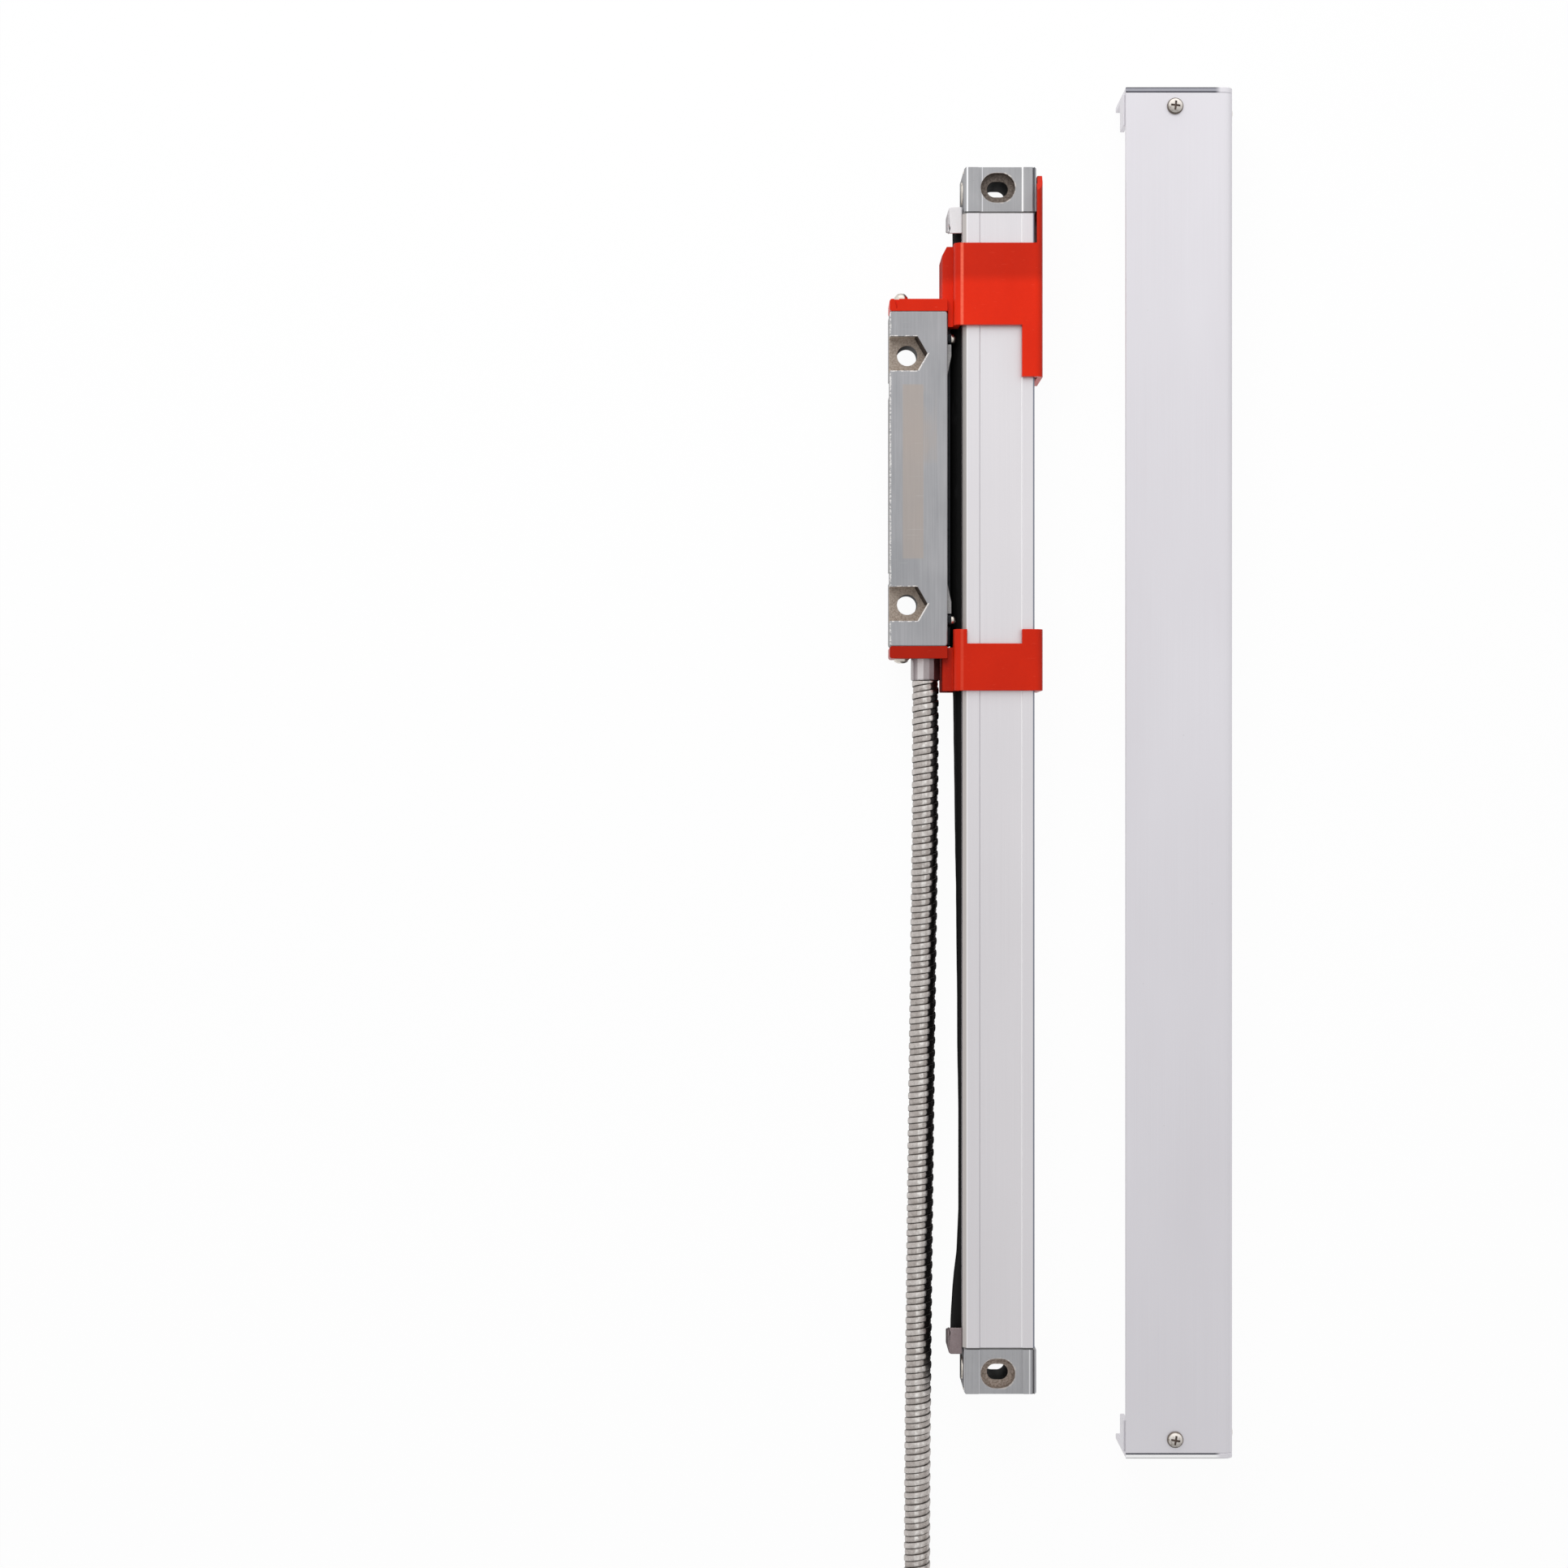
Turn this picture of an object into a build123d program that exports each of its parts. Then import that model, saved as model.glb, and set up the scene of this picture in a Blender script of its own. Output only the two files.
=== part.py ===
"""Slim linear glass scale: sealed body, reading head with its armoured cable, transport brackets and cover.

The scale lies on its mounting face. X runs across it, Y along it and Z from the mounting face to the front.
The origin is the middle of the body's mounting face, on the line of the two fixing slots.
"""

import math
import os

from build123d import *

os.makedirs("parts", exist_ok=True)

# Body
housing_length = 333.0
housing_width = 21.1
housing_depth = 22.0
slot_line_from_left = 10.4
side_wall = 1.8
face_wall = 2.0
front_chamfer = 1.3
panel_left = -5.3
panel_right = 7.1
panel_depth = 0.3
lip_opening = 8.0
lip_line_z = 12.0
clip_groove_z = 3.2
clip_groove_height = 1.6
clip_groove_depth = 0.7

# Glass and its seat
glass_width = 12.2
glass_thickness = 3.0
glass_back_z = 15.5
glass_end_gap = 5.0
seat_cord_height = 1.4
seat_rib_width = 2.5

# Sealing lips
lip_reach = 2.6
lip_thickness = 0.9
lip_root_width = 1.2
lip_root_height = 1.3

# End blocks
end_block_proud = 0.5
gasket_thickness = 0.5
fixing_slot_length = 6.2
fixing_slot_width = 4.6
counterbore_length = 10.0
counterbore_width = 8.6
counterbore_depth = 3.0
back_recess_depth = 4.0
counterbore_end_wall = 1.0
counterbore_inner_wall = 2.0
end_screw_radius = 0.9
end_screw_head_radius = 1.7
end_screw_head_height = 1.5
end_screw_bite = 2.0
air_plug_radius = 3.5
seal_clamp_length = 7.8
seal_clamp_width = 4.0
seal_clamp_height = 15.6
seal_clamp_overlap = 2.2
seal_clamp_slope = 3.1
seal_clamp_fillet = 0.5
clamp_screw_radius = 0.8
clamp_screw_from_body_end = 4.0
clamp_screw_from_lips = 1.45
clamp_screw_recess = 1.2

# Reading head
head_width = 17.0
head_length = 98.4
head_depth = 13.6
head_front_drop = 0.4
head_gap = 4.4
head_centre_y = 88.65
head_bolt_radius = 3.0
head_bolt_pitch = 73.5
head_bolt_from_edge = 5.35
nut_across_flats = 10.0
nut_pocket_depth = 5.0
head_lug_reach = 1.2
head_cavity_length = 56.0
head_cavity_width = 10.0
head_cavity_depth = 8.3
head_cover_thickness = 1.2
head_cover_margin = 2.2
board_thickness = 1.2

# Carrying arm and carriage
arm_base_thickness = 1.2
arm_base_height = 6.0
arm_base_length = 86.0
blade_thickness = 1.2
blade_length = 62.0
blade_taper = 9.0
arm_ear_length = 3.2
arm_ear_top = 20.6
arm_screw_z = 18.4
carriage_length = 60.0
carriage_web = 2.2
carriage_plate = 1.9
face_bearing_radius = 2.5
edge_bearing_radius = 2.0
bearing_width = 2.0
bearing_spread = 22.0
bearing_pin_radius = 0.7

# Transport brackets
bracket_wall = 1.6
bracket_plate = 1.9
bracket_arm_thickness = 3.6
bracket_arm_depth = 12.4
top_plate_length = 24.0
bottom_plate_length = 13.8
tongue_top_y = 177.8
top_leg_y = 118.3
bracket_leg_width = 6.2
bottom_ear_height = 4.2
bracket_screw_from_edge = 3.6

# Cable
cable_radius = 3.95
cable_length = 3000.0
gland_radius = 4.4
gland_length = 9.9
gland_spigot_radius = 3.2
gland_spigot_length = 4.0
coil_turns_across = 3
coil_mid_radius = 47.4
coil_centre_y = -298.0

# Plug
hood_length = 36.0
hood_width = 20.0
hood_thickness = 15.6
hood_shoulder_width = 31.0
hood_shoulder_length = 12.0
plug_boot_length = 8.0
plug_boot_radius = 5.4
plug_shell_width = 18.0
plug_shell_height = 9.8
plug_shell_length = 6.0
thumbscrew_pitch = 25.0
plug_from_coil = 5.5

# Protective cover, lying beside the scale
cover_length = 397.3
cover_width = 31.4
cover_height = 26.0
cover_wall = 1.6
cover_corner_radius = 2.6
cover_gap = 26.3
cover_centre_y = 2.25
cover_cap_thickness = 1.6
cap_flange = 9.3
cap_flange_thickness = 1.3
cover_screw_from_left = 14.4
cover_screw_from_end = 5.6

# Clearances
running_gap = 0.3
carriage_gap = 0.4
fit_gap = 0.05
pin_gap = 0.03

# Derived sizes of the end blocks
end_block_length = counterbore_length + counterbore_end_wall + counterbore_inner_wall
fixing_slot_from_end = counterbore_length / 2 + counterbore_end_wall
end_screw_length = end_block_length + end_screw_bite

# Derived places of the body
left = -slot_line_from_left
right = left + housing_width
front = housing_depth
housing_end = housing_length / 2
block_start = housing_end + gasket_thickness
body_end = block_start + end_block_length
slot_y = body_end - fixing_slot_from_end
cavity_right = right - side_wall
cavity_floor = face_wall
cavity_ceiling = front - face_wall
lip_low = lip_line_z - lip_opening / 2
lip_high = lip_line_z + lip_opening / 2
glass_right = cavity_right - running_gap
glass_left = glass_right - glass_width
glass_face_z = glass_back_z - glass_thickness
glass_length = housing_length - 2 * glass_end_gap
rib_left = cavity_right - seat_rib_width
edge_bearing_x = glass_left - edge_bearing_radius - fit_gap
web_left = edge_bearing_x - bearing_pin_radius - fit_gap
ridge_right = web_left - carriage_gap
clamp_screw_y = housing_end - clamp_screw_from_body_end
clamp_screw_z = lip_high + clamp_screw_from_lips + clamp_screw_radius
end_screw_places = [
    (left + 1.9, cavity_ceiling - 0.9),
    (right - 2.1, cavity_ceiling - 0.7),
    (left + 2.1, lip_low - 3.0),
    (right - 3.2, cavity_floor + 1.5),
]

# Derived places of the head and carriage
head_right = left - head_gap
head_left = head_right - head_width
head_front = front - head_front_drop
head_back = head_front - head_depth
head_top = head_centre_y + head_length / 2
head_bottom = head_centre_y - head_length / 2
head_bolt_x = head_left + head_bolt_from_edge
arm_right = head_right + arm_base_thickness
web_right = web_left + carriage_web
carriage_floor = cavity_floor + 1.0
carriage_ceiling = cavity_ceiling - 0.8
edge_bearing_z = (glass_face_z + glass_back_z) / 2
face_bearing_z = glass_face_z - face_bearing_radius - fit_gap
plate_right = rib_left - 1.2
face_bearing_places = [(glass_left + 2.0, 1), (glass_left + 6.8, 1), (glass_left + 4.4, -1)]

# Derived places of the brackets
clip_inner = running_gap + 0.5
bracket_right_inner = right + clip_inner
bracket_right = bracket_right_inner + bracket_wall
bracket_left_inner = left - clip_inner
bracket_left = bracket_left_inner - 1.9
bracket_inner_z = front + running_gap
bracket_front = bracket_inner_z + bracket_plate
bulge_inner = left - lip_reach - 1.3
bulge_outer = bulge_inner - 2.0
bulge_low = clip_groove_z - 0.2
bulge_high = lip_high + 3.6
bracket_screw_x = head_left + bracket_screw_from_edge
bracket_screw_z = (head_back + head_front) / 2

# Derived places of the cable
cable_x = -20.95
gland_z = (head_back + head_front) / 2 - 0.3
gland_end_y = head_bottom - gland_length
cable_diameter = 2 * cable_radius
coil_outer_radius = coil_mid_radius + coil_turns_across / 2 * cable_diameter
coil_inner_radius = coil_mid_radius - coil_turns_across / 2 * cable_diameter
coil_height = coil_turns_across * cable_diameter
coil_entry_radius = coil_outer_radius - cable_radius
coil_entry_x = -23.0
coil_centre_x = coil_entry_x + coil_entry_radius
coil_step_in = 20.0
plug_x = coil_centre_x + coil_outer_radius + plug_from_coil + hood_shoulder_width / 2
plug_y = coil_centre_y + 3.0
plug_z = hood_thickness / 2
hood_start = plug_x + plug_boot_length
hood_end = hood_start + hood_length
shoulder_start = hood_end - hood_shoulder_length

# The cable's route: from the gland down to the table, along it to the coil, and from the coil to the plug
cable_points = [
    (cable_x, gland_end_y, gland_z),
    (-20.9, -6.0, 13.4),
    (-21.2, -52.0, 6.4),
    (-21.8, -104.0, 4.1),
    (-22.9, -200.0, 4.0),
    (coil_entry_x, coil_centre_y + coil_step_in, 4.0),
]
tail_y = coil_centre_y - coil_entry_radius
tail_points = [
    (coil_centre_x + coil_step_in, tail_y, coil_height - cable_radius),
    (plug_x - 25.0, tail_y, 18.4),
    (plug_x, tail_y + 25.0, 9.0),
    (plug_x, plug_y, plug_z),
]

# Derived places of the cover
cover_left = right + cover_gap
cover_right = cover_left + cover_width
cover_top = cover_centre_y + cover_length / 2
cover_bottom = cover_centre_y - cover_length / 2
cover_inner_top = cover_height - cover_wall


def box(x0, x1, y0, y1, z0, z1):
    """A block between the given planes."""
    return Pos((x0 + x1) / 2, (y0 + y1) / 2, (z0 + z1) / 2) * Box(x1 - x0, y1 - y0, z1 - z0)


def rod_x(x0, x1, y, z, radius):
    return Pos((x0 + x1) / 2, y, z) * Rot(0, 90, 0) * Cylinder(radius, x1 - x0)


def rod_y(y0, y1, x, z, radius):
    return Pos(x, (y0 + y1) / 2, z) * Rot(90, 0, 0) * Cylinder(radius, y1 - y0)


def rod_z(z0, z1, x, y, radius):
    return Pos(x, y, (z0 + z1) / 2) * Cylinder(radius, z1 - z0)


def across(section, y0, y1):
    """A section drawn in X and Z, run along Y from y0 to y1."""
    plane = Plane(origin=(0, y1, 0), x_dir=(1, 0, 0), z_dir=(0, -1, 0))
    return extrude(plane * section, y1 - y0, dir=(0, -1, 0))


def upright(shape, z0, z1):
    """An outline drawn in X and Y, raised from z0 to z1."""
    return extrude(Pos(0, 0, z0) * shape, z1 - z0, dir=(0, 0, 1))


def sideways(section, x0, x1, y=0, z=0):
    """A section drawn in Y and Z about the given point, run along X from x0 to x1."""
    plane = Plane(origin=(x0, y, z), x_dir=(0, 1, 0), z_dir=(1, 0, 0))
    return extrude(plane * section, x1 - x0, dir=(1, 0, 0))


def outline(*points):
    return Polygon(*points, align=None)


def mirrored(shape, side):
    """The shape at the +Y end, or its mirror image at the -Y end."""
    return shape if side > 0 else mirror(shape, about=Plane.XZ)


def pan_screw(head_radius, head_height, shank_radius, shank_length):
    """A plain screw, faceted, whose head stands on z = 0 and whose shank goes down from it."""
    head = upright(RegularPolygon(head_radius, 12), 0, head_height)
    head = chamfer(head.edges().group_by(Axis.Z)[-1], 0.4 * head_height)
    return head + upright(RegularPolygon(shank_radius, 8), -shank_length, 0)


def save(name, *solids):
    """One STEP file per sub-part, with its solids kept apart."""
    found = [solid for shape in solids for solid in shape.solids()]
    shape = found[0] if len(found) == 1 else Compound(children=found)
    export_step(shape, f"parts/{name}.step")


def housing_extrusion():
    """The body's profile: a box open along the left side, with ridges for the lips and ribs for the glass."""
    skin = outline(
        (left, 0), (right, 0), (right, front),
        (left + front_chamfer, front), (left, front - front_chamfer),
    )
    skin = fillet(skin.vertices().group_by(Axis.Y)[0], 0.5)
    profile = skin
    profile -= outline(
        (left + side_wall, cavity_floor), (cavity_right, cavity_floor),
        (cavity_right, cavity_ceiling), (left + side_wall, cavity_ceiling),
    )
    for low, high in ((cavity_floor, lip_low), (lip_high, cavity_ceiling)):
        profile += outline(
            (left + side_wall, low), (ridge_right, low), (ridge_right, high), (left + side_wall, high)
        )
    seat_top = glass_back_z + seat_cord_height
    for low, high in ((glass_face_z - 2.0, glass_face_z), (seat_top, cavity_ceiling)):
        profile += outline(
            (rib_left, low), (cavity_right, low), (cavity_right, high), (rib_left, high)
        )
    boss_x, boss_z = end_screw_places[3]
    profile += (Pos(boss_x, boss_z) * Circle(1.9)) & skin
    profile -= outline(
        (left - 1, lip_low), (left + side_wall + 1, lip_low),
        (left + side_wall + 1, lip_high), (left - 1, lip_high),
    )
    for low in (lip_low - lip_root_height, lip_high):
        root_left = left + 0.8
        profile -= outline(
            (root_left, low), (root_left + lip_root_width, low),
            (root_left + lip_root_width, low + lip_root_height), (root_left, low + lip_root_height),
        )
    for edge, depth in ((left, clip_groove_depth), (right, -clip_groove_depth)):
        profile -= outline(
            (edge - depth, clip_groove_z), (edge + depth, clip_groove_z),
            (edge + depth, clip_groove_z + clip_groove_height),
            (edge - depth, clip_groove_z + clip_groove_height),
        )
    profile -= outline(
        (panel_left, front - panel_depth), (panel_right, front - panel_depth),
        (panel_right, front + 1), (panel_left, front + 1),
    )
    body = across(profile, -housing_end, housing_end)
    for x, z in end_screw_places:
        for side in (1, -1):
            depth = end_screw_length - end_block_length + 1
            hole = rod_y(housing_end - depth, housing_end, x, z, end_screw_radius + fit_gap)
            body -= mirrored(hole, side)
    for side in (1, -1):
        hole = rod_x(left - 1, left + 3.0, clamp_screw_y, clamp_screw_z, clamp_screw_radius + fit_gap)
        body -= mirrored(hole, side)
    return body


def glass_scale():
    strip = box(glass_left, glass_right, -glass_length / 2, glass_length / 2, glass_face_z, glass_back_z)
    return chamfer(strip.edges().filter_by(Axis.Y), 0.25)


def glass_seat_cord():
    """The rubber cord that holds the glass down on its rib."""
    middle = (rib_left + glass_right) / 2
    section = Pos(middle, glass_back_z + seat_cord_height / 2) * RectangleRounded(1.6, seat_cord_height, 0.3)
    return across(section, -glass_length / 2, glass_length / 2)


def lip_section(side):
    """One lip: a root in the body's groove and a flap that leans out to the lip line."""
    root_left = left + 0.8
    root_right = root_left + lip_root_width
    edge = lip_opening / 2
    tip = blade_thickness / 2 + running_gap
    points = [
        (root_right, edge), (root_right, edge + lip_root_height), (root_left, edge + lip_root_height),
        (root_left, edge), (left - 0.1, edge - 0.1), (left - 0.8 * lip_reach, edge - 1.3),
        (left - lip_reach, tip + 1.2), (left - lip_reach, tip), (left - lip_reach + lip_thickness, tip),
        (left - 0.6 * lip_reach + 0.5, edge - 2.0), (left + 0.3, edge - 1.0), (root_right, edge - 0.6),
    ]
    return outline(*[(x, lip_line_z + side * z) for x, z in points])


def sealing_lip(side):
    return across(lip_section(side), -housing_end, housing_end)


def end_block():
    """The cast block that closes the body, with a slotted fixing hole and a rim for the seal clamp."""
    block_left = left + end_block_proud
    block_right = right + end_block_proud
    profile = outline((block_left, 0), (block_right, 0), (block_right, front), (block_left, front))
    profile = chamfer(profile.vertices().group_by(Axis.X)[0].group_by(Axis.Y)[-1], 0.4)
    profile -= outline(
        (panel_left, front - panel_depth), (panel_right, front - panel_depth),
        (panel_right, front + 1), (panel_left, front + 1),
    )
    groove_x = right - 0.3
    profile -= outline(
        (groove_x - 0.3, front), (groove_x, front - 0.7), (groove_x + 0.3, front), (groove_x, front + 1)
    )
    block = across(profile, block_start, body_end)
    block = chamfer(block.edges().filter_by(Axis.Z).group_by(Axis.Y)[-1], 0.5)
    spigot = box(
        web_left, rib_left - 1.0, block_start - 3.0, block_start + 1,
        cavity_floor + 0.4, glass_face_z - 2.4,
    )
    block += chamfer(spigot.edges().group_by(Axis.Y)[0], 0.4)
    slot = SlotOverall(fixing_slot_length, fixing_slot_width)
    block -= upright(Pos(0, slot_y) * slot, -1, front + 1)
    recess = SlotOverall(counterbore_length, counterbore_width)
    block -= upright(Pos(0, slot_y) * recess, front - counterbore_depth, front + 1)
    block -= upright(Pos(0, slot_y) * recess, -1, back_recess_depth)
    for x, z in end_screw_places:
        block -= rod_y(block_start - 4, body_end + 1, x, z, end_screw_radius + 0.15)
        block -= rod_y(body_end - end_screw_head_height, body_end + 1, x, z, end_screw_head_radius + 0.15)
    block -= rod_x(block_left - 1, block_left + 1.2, slot_y, lip_line_z, air_plug_radius + 0.2)
    block -= rod_x(block_left, block_left + 3.0, slot_y, lip_line_z, 1.5 + fit_gap)
    return block


def end_gasket():
    """A thin seal between block and body, with the same openings."""
    inset = 0.4
    sheet = box(left + inset, right - inset, housing_end, block_start, inset, front - panel_depth - inset)
    sheet -= box(
        web_left - 0.3, rib_left - 0.7, housing_end - 1, block_start + 1,
        cavity_floor, glass_face_z - 2.0,
    )
    for x, z in end_screw_places:
        sheet -= rod_y(housing_end - 1, block_start + 1, x, z, end_screw_radius + 0.15)
    return sheet


def end_screws():
    screw = pan_screw(end_screw_head_radius, end_screw_head_height - 0.1, end_screw_radius, end_screw_length)
    return [
        Pos(x, body_end - end_screw_head_height, z) * Rot(-90, 0, 0) * screw for x, z in end_screw_places
    ]


def seal_clamp():
    """A cast bridge over the end of the lips, screwed to the body in front of them."""
    clamp_left = left - seal_clamp_width
    clamp_start = housing_end + seal_clamp_overlap - seal_clamp_length
    clamp_end = clamp_start + seal_clamp_length
    low = lip_line_z - seal_clamp_height / 2
    high = lip_line_z + seal_clamp_height / 2
    clamp = box(clamp_left, left, clamp_start, clamp_end, low, high)
    clamp = chamfer(clamp.edges().group_by(Axis.X)[0], seal_clamp_fillet)
    slope = outline(
        (clamp_start - 1, high + 1), (clamp_start, high), (clamp_start + seal_clamp_slope, low), (clamp_start - 1, low - 1)
    )
    clamp -= sideways(slope, clamp_left - 1, left + 1)
    tunnel = lip_opening / 2 + 0.2
    clamp -= box(
        left - lip_reach - 0.4, left + 1, clamp_start - 1, housing_end + 0.1,
        lip_line_z - tunnel, lip_line_z + tunnel,
    )
    clamp -= rod_x(clamp_left - 1, left + 1, clamp_screw_y, clamp_screw_z, clamp_screw_radius + 0.15)
    clamp -= rod_x(clamp_left - 1, clamp_left + clamp_screw_recess, clamp_screw_y, clamp_screw_z, 1.35)
    return clamp


def seal_clamp_screw():
    screw = pan_screw(1.25, 0.8, clamp_screw_radius, 5.5)
    x = left - seal_clamp_width + clamp_screw_recess
    return Pos(x, clamp_screw_y, clamp_screw_z) * Rot(0, -90, 0) * screw


def air_plug():
    """The blanking plug in the air port on the block's left side."""
    face = left + end_block_proud
    plug = rod_x(face - 0.5, face + 1.2, slot_y, lip_line_z, air_plug_radius)
    plug = chamfer(plug.edges().group_by(Axis.X)[0], 0.3)
    return plug + rod_x(face + 1.2, face + 3.0, slot_y, lip_line_z, 1.5)


def head_bolt_places():
    return [head_centre_y + side * head_bolt_pitch / 2 for side in (1, -1)]


def head_block():
    """The cast reading head: two fixing holes with nut pockets, lugs for the arm and a cavity at the back."""
    block = box(head_left, head_right, head_bottom, head_top, head_back, head_front)
    block = fillet(block.edges().filter_by(Axis.Z), 0.9)
    block = chamfer(block.edges().group_by(Axis.Z)[-1], 0.25)
    hexagon = RegularPolygon(nut_across_flats / 2, 6, major_radius=False)
    way_out = Pos(-nut_across_flats / 2, 0) * Rectangle(nut_across_flats, nut_across_flats)
    for y in head_bolt_places():
        pocket = Pos(head_bolt_x, y) * (hexagon + way_out)
        block -= upright(pocket, head_front - nut_pocket_depth, head_front + 1)
        block -= rod_z(head_back - 1, head_front + 1, head_bolt_x, y, head_bolt_radius)
    for side in (1, -1):
        tip = head_centre_y + side * (arm_base_length / 2 - arm_ear_length - 0.2)
        lug = outline(
            (head_right - 1, tip), (head_right + head_lug_reach, tip),
            (head_right + head_lug_reach, tip - side * 3.4), (head_right, tip - side * 9.2),
            (head_right - 1, tip - side * 9.2),
        )
        low = lip_line_z + arm_base_height / 2 + 0.3
        block += upright(lug, low, head_front - 1.5)
    for y, length in ((head_centre_y + 27.3, 4.8), (head_centre_y - 28.6, 3.4)):
        y0 = y - length / 2
        block -= box(head_left - 1, head_left + 0.8, y0, y0 + length, head_back - 1, head_back + 7.0)
    middle = (head_left + head_right) / 2
    cavity_half = head_cavity_width / 2
    block -= box(
        middle - cavity_half, middle + cavity_half, head_centre_y - head_cavity_length / 2,
        head_centre_y + head_cavity_length / 2, head_back - 1, head_back + head_cavity_depth,
    )
    margin = head_cover_margin
    block -= box(
        middle - cavity_half - margin, middle + cavity_half + margin,
        head_centre_y - head_cavity_length / 2 - margin, head_centre_y + head_cavity_length / 2 + margin,
        head_back - 1, head_back + head_cover_thickness,
    )
    for x, y in head_cover_screw_places():
        block -= rod_z(head_back, head_back + 5.0, x, y, 0.75 + fit_gap)
    spigot_end = head_bottom + gland_spigot_length
    block -= rod_y(head_bottom - 1, spigot_end, cable_x, gland_z, gland_spigot_radius + fit_gap)
    for side in (1, -1):
        end = head_top if side > 0 else head_bottom
        block -= rod_y(end - 6.5, end + 6.5, bracket_screw_x, bracket_screw_z, 1.25 + fit_gap)
        y = arm_screw_y(side)
        block -= rod_x(head_right - 5.0, head_right + 1, y, arm_screw_z, 0.9 + fit_gap)
    return block


def head_cover_screw_places():
    middle = (head_left + head_right) / 2
    dx = head_cavity_width / 2 + head_cover_margin / 2
    dy = head_cavity_length / 2 + head_cover_margin / 2
    return [(middle + sx * dx, head_centre_y + sy * dy) for sx in (-1, 1) for sy in (-1, 1)]


def head_cover():
    """The plate let into the back of the head."""
    middle = (head_left + head_right) / 2
    half_width = head_cavity_width / 2 + head_cover_margin - fit_gap
    half_length = head_cavity_length / 2 + head_cover_margin - fit_gap
    plate = box(
        middle - half_width, middle + half_width, head_centre_y - half_length, head_centre_y + half_length,
        head_back, head_back + head_cover_thickness,
    )
    for x, y in head_cover_screw_places():
        plate -= rod_z(head_back - 1, head_back + 2, x, y, 0.9)
        plate -= rod_z(head_back - 1, head_back + 0.6, x, y, 1.2)
    return plate


def head_cover_screws():
    screw = pan_screw(1.1, 0.55, 0.75, 4.0)
    return [Pos(x, y, head_back + 0.6) * Rot(180, 0, 0) * screw for x, y in head_cover_screw_places()]


def head_board():
    """The electronics board on the ceiling of the head's cavity, with its parts facing the cover."""
    middle = (head_left + head_right) / 2
    ceiling = head_back + head_cavity_depth
    half_width = head_cavity_width / 2 - 0.3
    half_length = head_cavity_length / 2 - 1.0
    board = box(
        middle - half_width, middle + half_width, head_centre_y - half_length, head_centre_y + half_length,
        ceiling - board_thickness, ceiling,
    )
    low = ceiling - board_thickness
    board += box(middle - 2.5, middle + 2.5, head_centre_y + 6, head_centre_y + 14, low - 1.4, low)
    board += box(middle - 4.0, middle + 4.0, head_centre_y - 24, head_centre_y - 18, low - 3.0, low)
    board += rod_z(low - 3.2, low, middle, head_centre_y - 4, 2.0)
    return board


def arm_screw_y(side):
    return head_centre_y + side * (arm_base_length - arm_ear_length) / 2


def carriage_arm():
    """The bar on the head's side and the thin blade that reaches through the lips, pointed at both ends."""
    half_height = arm_base_height / 2
    base = box(
        head_right, arm_right, head_centre_y - arm_base_length / 2, head_centre_y + arm_base_length / 2,
        lip_line_z - half_height, lip_line_z + half_height,
    )
    for side in (1, -1):
        y = arm_screw_y(side)
        half_ear = arm_ear_length / 2
        base += box(head_right, arm_right, y - half_ear, y + half_ear, lip_line_z, arm_ear_top)
    base = fillet(base.edges().filter_by(Axis.X).group_by(Axis.Z)[-1], 1.0)
    for side in (1, -1):
        base -= rod_x(head_right - 1, arm_right + 1, arm_screw_y(side), arm_screw_z, 1.0)
    end = blade_length / 2
    half = blade_thickness / 2
    lens = [
        (-end, 0.15), (-end + blade_taper, half), (end - blade_taper, half), (end, 0.15),
        (end, -0.15), (end - blade_taper, -half), (-end + blade_taper, -half), (-end, -0.15),
    ]
    return base + sideways(outline(*lens), head_right + 0.5, web_left, head_centre_y, lip_line_z)


def arm_screws():
    screw = pan_screw(1.35, 1.3, 0.9, 5.0)
    return [Pos(arm_right, arm_screw_y(side), arm_screw_z) * Rot(0, 90, 0) * screw for side in (1, -1)]


def bearing_cheeks(x):
    """The two upright cheeks that hold the pin of a bearing on the glass face."""
    inner = bearing_width / 2 + 0.2
    return [(x - inner - 0.8, x - inner), (x + inner, x + inner + 0.8)]


def carriage_frame():
    """The moulded C that straddles the glass: a web on the left and a plate under and over it."""
    y0 = head_centre_y - carriage_length / 2
    y1 = head_centre_y + carriage_length / 2
    frame = box(web_left, web_right, y0, y1, carriage_floor, carriage_ceiling)
    frame += box(web_left, plate_right, y0, y1, carriage_floor, carriage_floor + carriage_plate)
    frame += box(web_left, plate_right, y0 + 8, y1 - 8, carriage_ceiling - carriage_plate, carriage_ceiling)
    frame -= box(
        web_right + 1.0, plate_right + 1, y0 + 14, y1 - 14,
        carriage_floor - 1, carriage_floor + carriage_plate - 0.9,
    )
    for x, side in face_bearing_places:
        y = head_centre_y + side * bearing_spread
        for x0, x1 in bearing_cheeks(x):
            cheek = box(x0, x1, y - 1.6, y + 1.6, carriage_floor + 0.5, face_bearing_z + 1.3)
            frame += cheek - rod_x(x0 - 1, x1 + 1, y, face_bearing_z, bearing_pin_radius)
    for side in (1, -1):
        y = head_centre_y + side * bearing_spread
        reach = edge_bearing_radius + 0.4
        frame -= box(
            web_left - 1, web_right + 1, y - reach, y + reach,
            edge_bearing_z - bearing_width / 2 - 0.2, edge_bearing_z + bearing_width / 2 + 0.2,
        )
        frame -= rod_z(edge_bearing_z - 2.4, edge_bearing_z + 2.4, edge_bearing_x, y, bearing_pin_radius)
    return frame


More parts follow.
